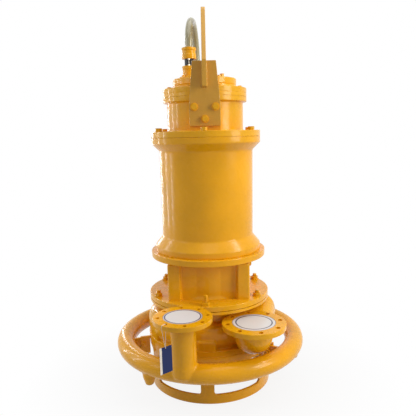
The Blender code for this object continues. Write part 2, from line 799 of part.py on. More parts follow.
# Bearing frame: casing cover flange, oil chamber with four corner columns, seal housing
backPlateZ = casingTopZ - 0.088 + SEAT
backPlateRadius = DRUM_RADIUS - DRUM_WALL - SEAT
sealBore = SEAL_RADIUS + SEAT
lowerSealZ = frameZ + SEAT


def make_casing_gasket():
    inner = DRUM_RADIUS - DRUM_WALL
    gasket = ring(inner, studCircle - 0.016, gasketZ, gasketZ + GASKET_THICKNESS, FINE_STEPS)
    piece("casing_gasket", gasket, fibre)


def make_back_plate():
    web = backPlateZ + 0.018
    hub = SEAL_RADIUS + 0.018
    bore = SHAFT_RADIUS + 0.004
    outline = [
        (backPlateRadius, gasketZ + GASKET_THICKNESS),
        (backPlateRadius, backPlateZ),
        (bore, backPlateZ),
        (bore, web + 0.030),
        (hub - 0.006, web + 0.030),
        (hub, web),
        (backPlateRadius - 0.022, web),
        (backPlateRadius - 0.018, gasketZ + GASKET_THICKNESS),
    ]
    piece("back_plate", turned(outline, FINE_STEPS), chromeIron)


def make_bearing_frame():
    floor = frameZ + 0.016
    outline = [
        (CHAMBER_RADIUS, frameTopZ),
        (CHAMBER_RADIUS, frameFlangeTopZ + 0.008),
        (CHAMBER_RADIUS + 0.008, frameFlangeTopZ),
        (FRAME_FLANGE_RADIUS, frameFlangeTopZ),
        (FRAME_FLANGE_RADIUS, frameZ),
        (sealBore, frameZ),
        (sealBore, floor + 0.012),
        (sealBore + 0.014, floor + 0.012),
        (sealBore + 0.014, floor),
        (CHAMBER_BORE, floor),
        (CHAMBER_BORE, frameTopZ),
    ]
    frame = piece("bearing_frame", turned(outline, FINE_STEPS), enamel)
    columns = []
    for sideX, sideY in ((1, 1), (-1, 1), (-1, -1), (1, -1)):
        x0, x1 = sorted((sideX * COLUMN_REACH_X, sideX * (COLUMN_REACH_X - COLUMN_WIDTH)))
        y0, y1 = sorted((sideY * COLUMN_REACH_Y, sideY * (COLUMN_REACH_Y - COLUMN_WIDTH - 0.030)))
        columns.append(slab((x0, y0, frameFlangeTopZ - 0.006), (x1, y1, frameTopZ)))
    join(frame, merged(columns), "corner_columns")
    bores = holes(STUD_COUNT, studCircle, CASTING_TURN, BOLT_RADIUS, frameZ - 0.02, frameFlangeTopZ + 0.02)
    cut(frame, bores, "stud_holes")
    port = moved(rod(0.0105, -0.06, 0.02), (CHAMBER_RADIUS, 0, portZ), 0, Matrix.Rotation(math.pi / 2, 4, "Y"))
    cut(frame, moved(port, (0, 0, 0), PORT_ANGLE), "port_hole")


def make_oil_plug():
    outline = [
        (0, 0.026),
        (0.013, 0.026),
        (0.0165, 0.022),
        (0.0165, 0.008),
        (0.021, 0.008),
        (0.021, 0.0008),
        (0.0095, 0.0008),
        (0.0095, -0.024),
        (0, -0.024),
    ]
    plug = moved(turned(outline, 8, False), (CHAMBER_RADIUS, 0, portZ), 0, Matrix.Rotation(math.pi / 2, 4, "Y"))
    piece("oil_port_plug", moved(plug, (0, 0, 0), PORT_ANGLE), enamel)


def make_casing_studs():
    depth = FRAME_FLANGE_THICKNESS + GASKET_THICKNESS + CASING_TOP_FLANGE + 2 * SEAT
    stud = stud_and_nut(BOLT_RADIUS, 0.0162, 0.014, STUD_RISE, depth)
    places = on_circle(STUD_COUNT, studCircle, CASTING_TURN, frameFlangeTopZ)
    copies("casing_stud", stud, enamel, places)


# Lower end shield with the lower bearing's housing
shieldHubZ = shieldZ - SHIELD_HUB_DEPTH
lowerBearingZ = shieldHubZ + 0.014
upperSealZ = shieldHubZ + SEAT


def make_lower_end_shield():
    hub = BEARING_RADIUS + SHIELD_HUB_WALL
    outline = [
        (SHIELD_RADIUS, shieldTopZ),
        (SHIELD_RADIUS, shieldZ),
        (CHAMBER_BORE - SEAT - 0.001, shieldZ),
        (CHAMBER_BORE - SEAT - 0.001, shieldZ - 0.010),
        (hub + 0.012, shieldZ - 0.010),
        (hub, shieldZ - 0.022),
        (hub, shieldHubZ),
        (sealBore, shieldHubZ),
        (sealBore, lowerBearingZ - SEAT),
        (BEARING_RADIUS + BEARING_PLAY, lowerBearingZ - SEAT),
        (BEARING_RADIUS + BEARING_PLAY, shieldTopZ),
    ]
    piece("lower_end_shield", turned(outline, FINE_STEPS), enamel)


# Motor housing, stator and rotor
def make_motor_housing():
    band = motorZ + MOTOR_BAND_HEIGHT
    flare = band + MOTOR_FLARE_HEIGHT
    flange = motorTopZ - MOTOR_FLANGE_THICKNESS
    cone = flange - MOTOR_CONE_HEIGHT
    bore = MOTOR_RADIUS - MOTOR_WALL
    outline = [
        (MOTOR_BAND_RADIUS, motorTopZ),
        (MOTOR_BAND_RADIUS, flange),
        (MOTOR_RADIUS, cone),
        (MOTOR_RADIUS, flare),
        (MOTOR_BAND_RADIUS, band),
        (MOTOR_BAND_RADIUS, motorZ),
        (bore, motorZ),
        (bore, motorTopZ),
    ]
    housing = piece("motor_housing", turned(outline, FINE_STEPS), enamel)
    high = holes(HOUSING_BOLTS, MOTOR_BOLT_CIRCLE, TOP_TURN, BOLT_RADIUS, motorTopZ - 0.022, motorTopZ + 0.02)
    cut(housing, high, "upper_holes")


statorZ = motorZ + STATOR_RISE


def make_stator():
    bore = MOTOR_RADIUS - MOTOR_WALL
    outside = bore - SEAT
    top = statorZ + STATOR_LENGTH
    slotInside = STATOR_BORE + 0.020
    core = piece("stator_core", ring(STATOR_BORE, outside, statorZ, top, FINE_STEPS), lamination)
    slots, bars = [], []
    for index in range(SLOT_COUNT):
        angle = (index + 0.5) * 360.0 / SLOT_COUNT
        half = SLOT_WIDTH / 2
        slot = slab((slotInside, -half, statorZ - 0.02), (slotInside + SLOT_DEPTH, half, top + 0.02))
        slots.append(moved(slot, (0, 0, 0), angle))
        low = (slotInside + SEAT, SEAT - half, statorZ - 0.01)
        high = (slotInside + SLOT_DEPTH - SEAT, half - SEAT, top + 0.01)
        bars.append(moved(slab(low, high), (0, 0, 0), angle))
    cut(core, merged(slots), "slots")
    overhangs = []
    for low in (statorZ - SEAT - WINDING_HEIGHT, top + SEAT):
        inner, outer = slotInside - 0.010, slotInside + SLOT_DEPTH + 0.010
        high = low + WINDING_HEIGHT
        outline = [
            (outer - 0.012, high),
            (outer, (low + high) / 2),
            (outer - 0.012, low),
            (inner + 0.008, low),
            (inner, (low + high) / 2),
            (inner + 0.008, high),
        ]
        overhangs.append(turned(outline, SMALL_STEPS))
    windings = piece("stator_windings", overhangs[0], copper)
    join(windings, overhangs[1], "upper_overhang")
    join(windings, merged(bars), "slot_bars")


def make_motor_flange_bolts():
    bolt = hex_bolt(BOLT_RADIUS, 0.0150, 0.015, UPPER_FLANGE_THICKNESS + 0.018)
    places = on_circle(HOUSING_BOLTS, MOTOR_BOLT_CIRCLE, TOP_TURN, upperFlangeTopZ)
    copies("motor_flange_bolt", bolt, enamel, places)


# Upper housing with the upper end shield, two flat lifting pads and the terminal space
upperHubZ = upperZ - 0.034
upperBearingZ = upperHubZ + 0.004 + SEAT


def make_upper_housing():
    bore = UPPER_RADIUS - UPPER_WALL
    rim = upperTopZ - UPPER_RIM_THICKNESS
    hub = BEARING_RADIUS + 0.014
    spigot = MOTOR_RADIUS - MOTOR_WALL - SEAT
    floor = upperZ + 0.016
    outline = [
        (UPPER_RIM_RADIUS, upperTopZ),
        (UPPER_RIM_RADIUS, rim),
        (UPPER_RADIUS, rim - 0.006),
        (UPPER_RADIUS, upperFlangeTopZ),
        (MOTOR_BAND_RADIUS, upperFlangeTopZ),
        (MOTOR_BAND_RADIUS, upperZ),
        (spigot, upperZ),
        (spigot, upperZ - 0.008),
        (hub, upperZ - 0.008),
        (hub, upperHubZ),
        (BEARING_RADIUS - 0.008, upperHubZ),
        (BEARING_RADIUS - 0.008, upperBearingZ - SEAT),
        (BEARING_RADIUS + BEARING_PLAY, upperBearingZ - SEAT),
        (BEARING_RADIUS + BEARING_PLAY, floor + 0.003),
        (bore - 0.020, floor + 0.003),
        (bore - 0.020, upperTopZ),
    ]
    housing = piece("upper_housing", turned(outline, FINE_STEPS), enamel)
    for side in (-1, 1):
        y0, y1 = sorted((side * PAD_FACE, side * (bore - 0.012)))
        low, high = (-PAD_WIDTH / 2, y0, upperFlangeTopZ - 0.004), (PAD_WIDTH / 2, y1, rim - 0.006)
        join(housing, slab(low, high), "front_pad" if side < 0 else "rear_pad")
    cut(housing, rod(bore, floor, upperTopZ + 0.02, FINE_STEPS), "housing_bore")
    cut(housing, lift_bolt_holes(), "lift_holes")
    bores = holes(HOUSING_BOLTS, MOTOR_BOLT_CIRCLE, TOP_TURN, BOLT_RADIUS, upperZ - 0.02, upperFlangeTopZ + 0.02)
    cut(housing, bores, "flange_holes")


def make_top_cover():
    bore = UPPER_RADIUS - UPPER_WALL - SEAT
    outline = [
        (0, topCoverTopZ),
        (UPPER_RIM_RADIUS - 0.003, topCoverTopZ),
        (UPPER_RIM_RADIUS, topCoverTopZ - 0.003),
        (UPPER_RIM_RADIUS, topCoverZ),
        (bore, topCoverZ),
        (bore, topCoverZ - 0.008),
        (bore - 0.012, topCoverZ - 0.008),
        (bore - 0.014, topCoverZ + 0.016),
        (0, topCoverZ + 0.016),
    ]
    piece("top_cover", turned(outline, FINE_STEPS, False), enamel)


def make_cable_cover():
    groove = cableCoverZ + 0.012
    outline = [
        (0, cableCoverTopZ),
        (CABLE_COVER_RADIUS - 0.004, cableCoverTopZ),
        (CABLE_COVER_RADIUS, cableCoverTopZ - 0.004),
        (CABLE_COVER_RADIUS, groove + 0.003),
        (CABLE_COVER_RADIUS - 0.002, groove),
        (CABLE_COVER_RADIUS, groove - 0.003),
        (CABLE_COVER_RADIUS, cableCoverZ),
        (0, cableCoverZ),
    ]
    cover = piece("cable_cover", turned(outline, MID_STEPS, False), enamel)
    socket = moved(rod(0.0085 + SEAT, cableCoverTopZ - 0.014, cableCoverTopZ + 0.02), (PLUG_X, 0, 0))
    cut(cover, socket, "plug_socket")


def make_top_plug():
    low = cableCoverTopZ
    outline = [
        (0, low + 0.024),
        (0.008, low + 0.024),
        (0.0095, low + 0.022),
        (0.0095, low + 0.008),
        (0.0155, low + 0.008),
        (0.0155, low + SEAT),
        (0.0080, low + SEAT),
        (0.0080, low - 0.012),
        (0, low - 0.012),
    ]
    piece("top_plug", moved(turned(outline, 6, False), (PLUG_X, 0, 0)), enamel)


# Cable gland: base with barrel, split follower on two studs, rubber grommet
glandBaseZ = cableCoverTopZ + SEAT
glandBarrelTopZ = glandBaseZ + 0.012 + GLAND_BARREL_HEIGHT
followerZ = glandBarrelTopZ + GLAND_GAP
glandStudY = (GROMMET_RADIUS + GLAND_FOLLOWER_RADIUS) / 2


def make_gland():
    base = [
        (GLAND_BASE_RADIUS, glandBaseZ + 0.012),
        (GLAND_BASE_RADIUS, glandBaseZ),
        (GROMMET_RADIUS + SEAT, glandBaseZ),
        (GROMMET_RADIUS + SEAT, glandBarrelTopZ),
        (GLAND_FOLLOWER_RADIUS, glandBarrelTopZ),
        (GLAND_FOLLOWER_RADIUS, glandBarrelTopZ - 0.012),
        (GLAND_BARREL_RADIUS, glandBarrelTopZ - 0.018),
        (GLAND_BARREL_RADIUS, glandBaseZ + 0.012),
    ]
    body = piece("gland_body", moved(turned(base, SMALL_STEPS), (GLAND_X, 0, 0)), enamel)
    studs = []
    for side in (-1, 1):
        outline = [
            (0, followerZ + 0.012),
            (GLAND_STUD_RADIUS, followerZ + 0.012),
            (GLAND_STUD_RADIUS, followerZ - SEAT),
            (GLAND_STUD_RADIUS + 0.0022, followerZ - SEAT),
            (GLAND_STUD_RADIUS + 0.0022, followerZ - 0.006),
            (GLAND_STUD_RADIUS, followerZ - 0.006),
            (GLAND_STUD_RADIUS, glandBarrelTopZ - 0.006),
            (0, glandBarrelTopZ - 0.006),
        ]
        studs.append(moved(turned(outline, 6, False), (GLAND_X, side * glandStudY, 0)))
    join(body, merged(studs), "gland_studs")
    follower = [
        (GLAND_FOLLOWER_RADIUS, GLAND_TOP_Z),
        (GLAND_FOLLOWER_RADIUS, GLAND_TOP_Z - 0.010),
        (GLAND_BARREL_RADIUS, GLAND_TOP_Z - 0.013),
        (GLAND_BARREL_RADIUS, followerZ + 0.022),
        (GLAND_FOLLOWER_RADIUS, followerZ + 0.018),
        (GLAND_FOLLOWER_RADIUS, followerZ),
        (GROMMET_RADIUS + SEAT, followerZ),
        (GROMMET_RADIUS + SEAT, GLAND_TOP_Z),
    ]
    clamp = piece("gland_follower", moved(turned(follower, SMALL_STEPS), (GLAND_X, 0, 0)), enamel)
    bores = []
    for side in (-1, 1):
        bore = rod(GLAND_STUD_RADIUS + HOLE_PLAY, followerZ - 0.01, followerZ + 0.014)
        bores.append(moved(bore, (GLAND_X, side * glandStudY, 0)))
    cut(clamp, merged(bores), "stud_holes")
    grommet = rod(GROMMET_RADIUS, glandBaseZ, GLAND_TOP_Z, SMALL_STEPS)
    piece("gland_grommet", moved(grommet, (GLAND_X, 0, 0)), rubber)


# Lifting frame
def lift_bolt_spots():
    return (
        (-LIFT_BOLT_SPREAD, liftBoltUpperZ),
        (LIFT_BOLT_SPREAD, liftBoltUpperZ),
        (0.0, liftBoltLowerZ),
    )


def lift_bolt_holes():
    bore = (BOLT_RADIUS + HOLE_PLAY) / math.cos(math.pi / 8)
    bores = []
    for side in (-1, 1):
        outward = Matrix.Rotation(math.radians(-90 * side), 4, "X")
        for x, z in lift_bolt_spots():
            bores.append(moved(rod(bore, -0.022, 0.05), (x, side * PAD_FACE, z), 0, outward))
    return merged(bores)


def make_lifting_frame():
    upright = Matrix.Rotation(math.radians(90), 4, "X")
    half, top = LIFT_PLATE_WIDTH / 2, LIFT_PLATE_TOP_WIDTH / 2
    outline = [
        (-half, liftPlateBottomZ),
        (half, liftPlateBottomZ),
        (half, liftPlateShoulderZ),
        (top, liftPlateTopZ),
        (-top, liftPlateTopZ),
        (-half, liftPlateShoulderZ),
    ]
    inside = PAD_FACE + SEAT
    outside = inside + LIFT_PLATE_THICKNESS
    front = moved(prism(outline, inside, outside), (0, 0, 0), 0, upright)
    frame = piece("lifting_frame", front, enamel)
    back = moved(prism(outline, -outside, -inside), (0, 0, 0), 0, upright)
    leg = outside + ARCH_LEG_STANDOFF
    overlap = outside - 0.004
    innerTop = ARCH_TOP_HALF - 0.012
    slope = (leg - ARCH_TOP_HALF) / (archTopZ - liftPlateTopZ)
    underBar = archTopZ - ARCH_BAR
    innerFoot = overlap - 0.018
    arch = [
        (leg, archLegBottomZ),
        (leg, liftPlateTopZ),
        (leg - slope * (archTopZ - 0.02 - liftPlateTopZ), archTopZ - 0.02),
        (ARCH_TOP_HALF - 0.012, archTopZ),
    ]
    arch += [(-y, z) for y, z in reversed(arch)]
    arch += [
        (-overlap, archLegBottomZ),
        (-overlap, liftPlateTopZ + SEAT),
        (-innerFoot, liftPlateTopZ + SEAT),
        (-innerTop + 0.030, underBar),
        (innerTop - 0.030, underBar),
        (innerFoot, liftPlateTopZ + SEAT),
        (overlap, liftPlateTopZ + SEAT),
        (overlap, archLegBottomZ),
    ]
    sideways = Matrix(((0, 0, 1, 0), (1, 0, 0, 0), (0, 1, 0, 0), (0, 0, 0, 1)))
    archPlate = moved(prism(arch, -ARCH_THICKNESS / 2, ARCH_THICKNESS / 2), (0, 0, 0), 0, sideways)
    join(frame, back, "back_plate_of_frame")
    join(frame, archPlate, "arch_plate")
    eye = rod(LIFTING_EYE_RADIUS, -0.05, 0.05, TINY_STEPS)
    eyeZ = archTopZ - ARCH_BAR / 2
    cut(frame, moved(eye, (0, 0, eyeZ), 0, Matrix.Rotation(math.pi / 2, 4, "Y")), "lifting_eye")
    cut(frame, lift_bolt_holes(), "plate_holes")


def make_lifting_bolts():
    bolt = hex_bolt(BOLT_RADIUS, 0.0150, 0.011, LIFT_PLATE_THICKNESS + 0.020)
    face = PAD_FACE + SEAT + LIFT_PLATE_THICKNESS
    places = []
    for side in (-1, 1):
        outward = Matrix.Rotation(math.radians(-90 * side), 4, "X")
        for x, z in lift_bolt_spots():
            places.append(Matrix.Translation((x, side * face, z)) @ outward)
    copies("lifting_bolt", bolt, enamel, places)


# Shaft line, all on the rotor's axis
impellerTopZ = backPlateZ - RUNNING_CLEARANCE
impellerZ = suctionZ + SUCTION_PLATE_THICKNESS + RUNNING_CLEARANCE
agitatorTopZ = impellerZ - SEAT
agitatorNutZ = AGITATOR_BOTTOM_Z - SEAT
upperBearingTopZ = upperBearingZ + BEARING_WIDTH
journal = SHAFT_RADIUS
rotorSeat = SHAFT_RADIUS + 0.005


def make_shaft():
    shoulder = impellerTopZ + SEAT
    top = upperBearingTopZ + SHAFT_STUB
    outline = [
        (0, top),
        (journal - 0.003, top),
        (journal - 0.003, upperBearingTopZ + 0.002),
        (journal, upperBearingTopZ + 0.002),
        (journal, upperBearingZ - SEAT),
        (rotorSeat, upperBearingZ - 0.002),
        (rotorSeat, statorZ - SEAT),
        (rotorSeat + 0.004, statorZ - SEAT),
        (rotorSeat + 0.004, statorZ - 0.012),
        (rotorSeat, statorZ - 0.016),
        (rotorSeat, lowerBearingZ + BEARING_WIDTH + SEAT),
        (journal, lowerBearingZ + BEARING_WIDTH + SEAT),
        (journal, shoulder),
        (SHAFT_NOSE_RADIUS, shoulder),
        (SHAFT_NOSE_RADIUS, AGITATOR_BOTTOM_Z + 0.002),
        (SHAFT_THREAD_RADIUS, AGITATOR_BOTTOM_Z),
        (SHAFT_THREAD_RADIUS, agitatorNutZ - AGITATOR_NUT - 0.004),
        (0, agitatorNutZ - AGITATOR_NUT - 0.004),
    ]
    piece("shaft", turned(outline, SMALL_STEPS, False), steel, rotorAxis)


def make_rotor_core():
    outer = STATOR_BORE - AIR_GAP
    inner = rotorSeat + SEAT
    low, high = statorZ, statorZ + STATOR_LENGTH
    outline = [
        (outer, high - 0.012),
        (outer, low + 0.012),
        (outer - 0.008, low),
        (inner, low),
        (inner, high),
        (outer - 0.008, high),
    ]
    piece("rotor_core", turned(outline, FINE_STEPS), lamination, rotorAxis)


def make_bearing(name, low):
    high = low + BEARING_WIDTH
    inner = journal + SEAT
    middle = (inner + BEARING_RADIUS) / 2
    half = BALL_RADIUS + 0.0006
    centre = (low + high) / 2
    outline = [
        (middle - half + 0.004, high),
        (middle - half, centre),
        (middle - half + 0.004, low),
        (inner, low),
        (inner, high),
    ]
    piece(f"{name}_inner_race", turned(outline, SMALL_STEPS), steel, rotorAxis)
    outline = [
        (BEARING_RADIUS, high),
        (BEARING_RADIUS, low),
        (middle + half - 0.004, low),
        (middle + half, centre),
        (middle + half - 0.004, high),
    ]
    piece(f"{name}_outer_race", turned(outline, SMALL_STEPS), steel)
    cage = ring(middle - 0.003, middle + 0.003, centre - CAGE_WIDTH / 2, centre + CAGE_WIDTH / 2, SMALL_STEPS)
    balls = []
    for index in range(BALL_COUNT):
        bm = bmesh.new()
        bmesh.ops.create_uvsphere(bm, u_segments=6, v_segments=4, radius=BALL_RADIUS)
        balls.append(moved(bm, polar(middle, index * 360.0 / BALL_COUNT, centre)))
    caged = piece(f"{name}_balls", cage, steel)
    join(caged, merged(balls), f"{name}_ball_set")


def make_seals():
    """A double mechanical seal: one rotary unit between a seat in the frame and one in the end shield."""
    for name, low in (("lower", lowerSealZ), ("upper", upperSealZ)):
        seat = ring(SHAFT_RADIUS + 0.0015, SEAL_RADIUS, low, low + SEAL_WIDTH, SMALL_STEPS)
        piece(f"{name}_seal_seat", seat, ceramic)
    low, high = lowerSealZ + SEAL_WIDTH + SEAT, upperSealZ - SEAT
    face, body = SEAL_RADIUS - 0.007, SEAL_RADIUS - 0.001
    outline = [
        (face, high),
        (face, high - 0.008),
        (body, high - 0.010),
        (body, high - 0.030),
        (face - 0.002, high - 0.032),
        (face - 0.002, low + 0.032),
        (body, low + 0.030),
        (body, low + 0.010),
        (face, low + 0.008),
        (face, low),
        (journal + SEAT, low),
        (journal + SEAT, high),
    ]
    piece("seal_rotary_unit", turned(outline, SMALL_STEPS), steel, rotorAxis)


def make_impeller():
    bore = SHAFT_NOSE_RADIUS + SEAT
    low = impellerTopZ - IMPELLER_SHROUD
    hub = 0.046
    outline = [
        (IMPELLER_RADIUS, impellerTopZ - 0.003),
        (IMPELLER_RADIUS, low + 0.004),
        (hub + 0.012, low),
        (hub, low - 0.014),
        (hub - 0.008, impellerZ + 0.006),
        (hub - 0.012, impellerZ),
        (bore, impellerZ),
        (bore, impellerTopZ),
        (IMPELLER_RADIUS - 0.006, impellerTopZ),
    ]
    impeller = piece("impeller", turned(outline, FINE_STEPS), chromeIron, rotorAxis)
    vanes = []
    for index in range(IMPELLER_VANES):
        leading, trailing = [], []
        for step in range(7):
            share = step / 6
            radius = hub - 0.012 + (IMPELLER_RADIUS - 0.002 - hub + 0.012) * share
            angle = index * 360.0 / IMPELLER_VANES + VANE_WRAP * share
            half = VANE_THICKNESS * (0.5 - 0.15 * share)
            spread = math.degrees(half / radius)
            leading.append(polar(radius, angle - spread).to_2d())
            trailing.append(polar(radius, angle + spread).to_2d())
        outline = leading + trailing[::-1]
        vanes.append(prism(outline, impellerZ + 0.001, low + 0.008))
    for index, vane in enumerate(vanes):
        join(impeller, vane, f"vane_{index}")


def make_agitator():
    bore = SHAFT_NOSE_RADIUS + SEAT
    hub = 0.037
    outline = [
        (hub - 0.004, agitatorTopZ),
        (hub, agitatorTopZ - 0.020),
        (hub, AGITATOR_BOTTOM_Z + 0.012),
        (hub - 0.006, AGITATOR_BOTTOM_Z),
        (bore, AGITATOR_BOTTOM_Z),
        (bore, agitatorTopZ),
    ]
    agitator = piece("agitator", turned(outline, SMALL_STEPS), chromeIron, rotorAxis)
    for index in range(AGITATOR_BLADES):
        rows = []
        for step in range(5):
            share = step / 4
            z = AGITATOR_BOTTOM_Z + 0.006 + AGITATOR_BLADE_HEIGHT * share
            angle = index * 360.0 / AGITATOR_BLADES - 50 * share
            outer = AGITATOR_RADIUS - 0.010 * share
            inner = hub - 0.008
            rootSpread = math.degrees(0.007 / inner)
            tipSpread = math.degrees(0.004 / outer)
            row = [
                polar(inner, angle - rootSpread, z),
                polar(outer, angle - tipSpread, z),
                polar(outer, angle + tipSpread, z),
                polar(inner, angle + rootSpread, z),
            ]
            rows.append(row)
        join(agitator, lofted(rows), f"blade_{index}")
    low = agitatorNutZ - AGITATOR_NUT
    nut = rod(0.026, low, agitatorNutZ, 6)
    nut = piece("agitator_nut", nut, zinc, rotorAxis)
    cut(nut, rod(SHAFT_THREAD_RADIUS + SEAT, low - 0.01, agitatorNutZ + 0.01, SMALL_STEPS), "nut_thread")


# Power cable: hangs from its loop over the gland to the floor behind, the rest lies coiled
def smooth_route(knots, spacing):
    """Points along a Catmull-Rom curve through the knots, evenly apart."""
    padded = [knots[0] * 2 - knots[1]] + knots + [knots[-1] * 2 - knots[-2]]
    dense = []
    for a, b, c, d in zip(padded, padded[1:], padded[2:], padded[3:]):
        for step in range(24):
            t = step / 24
            point = 0.5 * (2 * b + (c - a) * t + (2 * a - 5 * b + 4 * c - d) * t * t)
            dense.append(point + 0.5 * (3 * b - a - 3 * c + d) * t**3)
    dense.append(knots[-1])
    lengths = [0.0]
    for before, after in zip(dense, dense[1:]):
        lengths.append(lengths[-1] + (after - before).length)
    count = max(2, round(lengths[-1] / spacing))
    route = []
    place = 0
    for step in range(count + 1):
        target = lengths[-1] * step / count
        while place < len(dense) - 2 and lengths[place + 1] < target:
            place += 1
        span = lengths[place + 1] - lengths[place]
        share = (target - lengths[place]) / span if span else 0
        route.append(dense[place].lerp(dense[place + 1], share))
    return route


def make_cable():
    floor = CABLE_RADIUS + 0.0005
    beside = COIL_MEAN_RADIUS + 3 * CABLE_RADIUS + COIL_GAP
    coilCentre = Vector((COIL_X, COIL_Y, floor))
    knots = [
        Vector((GLAND_X, 0, GLAND_TOP_Z + 0.020)),
        Vector((GLAND_X + 0.001, 0.006, GLAND_TOP_Z + 0.050)),
        Vector((GLAND_X + 0.004, 0.040, GLAND_TOP_Z + 0.097)),
        Vector((GLAND_X + 0.010, 0.098, GLAND_TOP_Z + 0.131)),
        Vector((GLAND_X + 0.017, 0.168, GLAND_TOP_Z + 0.131)),
        Vector((GLAND_X + 0.023, 0.228, GLAND_TOP_Z + 0.092)),
        Vector((GLAND_X + 0.028, 0.262, GLAND_TOP_Z + 0.015)),
        Vector((-0.036, 0.281, 1.45)),
        Vector((-0.033, 0.297, 1.20)),
        Vector((-0.029, 0.318, 0.90)),
        Vector((-0.027, 0.352, 0.62)),
        Vector((-0.031, 0.404, 0.42)),
        Vector((-0.041, 0.466, 0.29)),
        Vector((-0.064, 0.534, 0.165)),
        Vector((-0.100, 0.595, 0.068)),
        Vector((-0.140, 0.636, floor + 0.006)),
        coilCentre + polar(beside, COIL_ENTRY_ANGLE + 17),
        coilCentre + polar(beside, COIL_ENTRY_ANGLE),
    ]
    start = Vector((GLAND_X, 0, GLAND_TOP_Z + SEAT))
    route = [start] + smooth_route(knots, 4 * CABLE_RADIUS)
    curve = bpy.data.curves.new("cable_run", "CURVE")
    curve.dimensions = "3D"
    curve.bevel_depth = CABLE_RADIUS
    curve.bevel_resolution = 2
    curve.use_fill_caps = True
    spline = curve.splines.new("POLY")
    spline.points.add(len(route) - 1)
    for point, spot in zip(spline.points, route):
        point.co = (*spot, 1.0)
    run = bpy.data.objects.new("cable_run", curve)
    run.parent = pumpAxis
    bpy.context.scene.collection.objects.link(run)
    curve.materials.append(cableSheath)
    inner = COIL_MEAN_RADIUS - 2 * CABLE_RADIUS
    outer = COIL_MEAN_RADIUS + 2 * CABLE_RADIUS
    height = 4 * CABLE_RADIUS
    outline = [
        (outer, height * 0.78),
        (outer, height * 0.22),
        (outer - 0.014, 0.0005),
        (inner + 0.014, 0.0005),
        (inner, height * 0.22),
        (inner, height * 0.78),
        (inner + 0.014, height),
        (outer - 0.014, height),
    ]
    piece("cable_coil", moved(turned(outline, FINE_STEPS), (COIL_X, COIL_Y, 0)), cableSheath)


def make_cable_tail():
    """The sealed end of the cable inside its coil: sheath end, moulded boot and three cores with lugs."""
    inside = COIL_MEAN_RADIUS - 3 * CABLE_RADIUS - TAIL_GAP
    spot = Vector((COIL_X, COIL_Y, CABLE_RADIUS + 0.0005)) + polar(inside, TAIL_ANGLE)
    lying = Matrix.Rotation(math.radians(90), 4, "X")
    heading = TAIL_ANGLE - 18
    boot = [
        (0, 0.080),
        (CABLE_RADIUS * 0.8, 0.080),
        (CABLE_RADIUS, 0.070),
        (CABLE_RADIUS, 0.0),
        (0, 0.0),
    ]
    tail = piece("cable_tail", moved(turned(boot, TINY_STEPS, False), spot, heading, lying), cableSheath)
    for index, (across, z) in enumerate(((-0.0075, -0.0035), (0.0075, -0.0035), (0.0, 0.0065))):
        core = [
            (0, 0.150),
            (0.0058, 0.150),
            (0.0058, 0.115),
            (0.0045, 0.113),
            (0.0045, 0.070),
            (0, 0.070),
        ]
        body = moved(turned(core, 6, False), (across, 0, z), 0, lying)
        join(tail, moved(body, spot, heading), f"core_{index}")


make_base_skirt()
make_suction_plate()
make_volute_casing()
make_ring_manifold()
make_bracket_bolts()
make_cover_discs()
make_casing_gasket()
make_back_plate()
make_bearing_frame()
make_oil_plug()
make_casing_studs()
make_lower_end_shield()
make_motor_housing()
make_stator()
make_motor_flange_bolts()
make_upper_housing()
make_top_cover()
make_cable_cover()
make_top_plug()
make_gland()
make_lifting_frame()
make_lifting_bolts()
make_shaft()
make_rotor_core()
make_bearing("lower_bearing", lowerBearingZ)
make_bearing("upper_bearing", upperBearingZ)
make_seals()
make_impeller()
make_agitator()
make_cable()
make_cable_tail()
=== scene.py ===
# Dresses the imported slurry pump: smooth castings, enamel, fasteners, its cable, studio floor and camera.
# Metres, +Z up. Shapes are made about the pump's own axis and moved onto it when they are finished.
import json
import math

import bmesh
import bpy
from mathutils import Matrix, Vector


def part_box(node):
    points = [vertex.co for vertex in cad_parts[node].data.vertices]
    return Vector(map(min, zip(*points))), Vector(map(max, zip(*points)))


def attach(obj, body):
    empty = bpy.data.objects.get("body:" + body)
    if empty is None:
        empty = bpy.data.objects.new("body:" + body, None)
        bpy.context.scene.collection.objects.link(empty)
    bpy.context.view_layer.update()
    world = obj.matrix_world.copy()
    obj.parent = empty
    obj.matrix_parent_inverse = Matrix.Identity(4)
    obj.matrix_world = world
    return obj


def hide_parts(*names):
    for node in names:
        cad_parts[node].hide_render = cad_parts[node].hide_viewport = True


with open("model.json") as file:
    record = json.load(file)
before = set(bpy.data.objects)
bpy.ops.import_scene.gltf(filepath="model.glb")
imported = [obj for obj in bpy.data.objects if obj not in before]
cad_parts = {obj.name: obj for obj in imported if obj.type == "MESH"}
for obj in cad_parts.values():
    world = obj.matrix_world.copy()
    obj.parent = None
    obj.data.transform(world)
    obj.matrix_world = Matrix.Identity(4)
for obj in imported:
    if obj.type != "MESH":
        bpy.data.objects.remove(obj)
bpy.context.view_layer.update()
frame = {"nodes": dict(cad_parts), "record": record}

motorLow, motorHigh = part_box("motor_housing")
axisSpot = Vector(((motorLow.x + motorHigh.x) / 2, (motorLow.y + motorHigh.y) / 2, 0))
scene = bpy.context.scene


def report(text):
    print(f"pump scene: {text}")


def polar(radius, degrees, z=0.0):
    angle = math.radians(degrees)
    return Vector((radius * math.cos(angle), radius * math.sin(angle), z))


# Camera at the photograph's eye: 12.9 degrees down, a slight roll, and a rise of the lens for the framing
eye = {
    "spot": (0.0078, -2.2607, 1.2084),
    "down": 12.898,
    "yaw": -0.207,
    "roll": -1.284,
    "lens": 41.60,
    "rise": 0.0889,
}


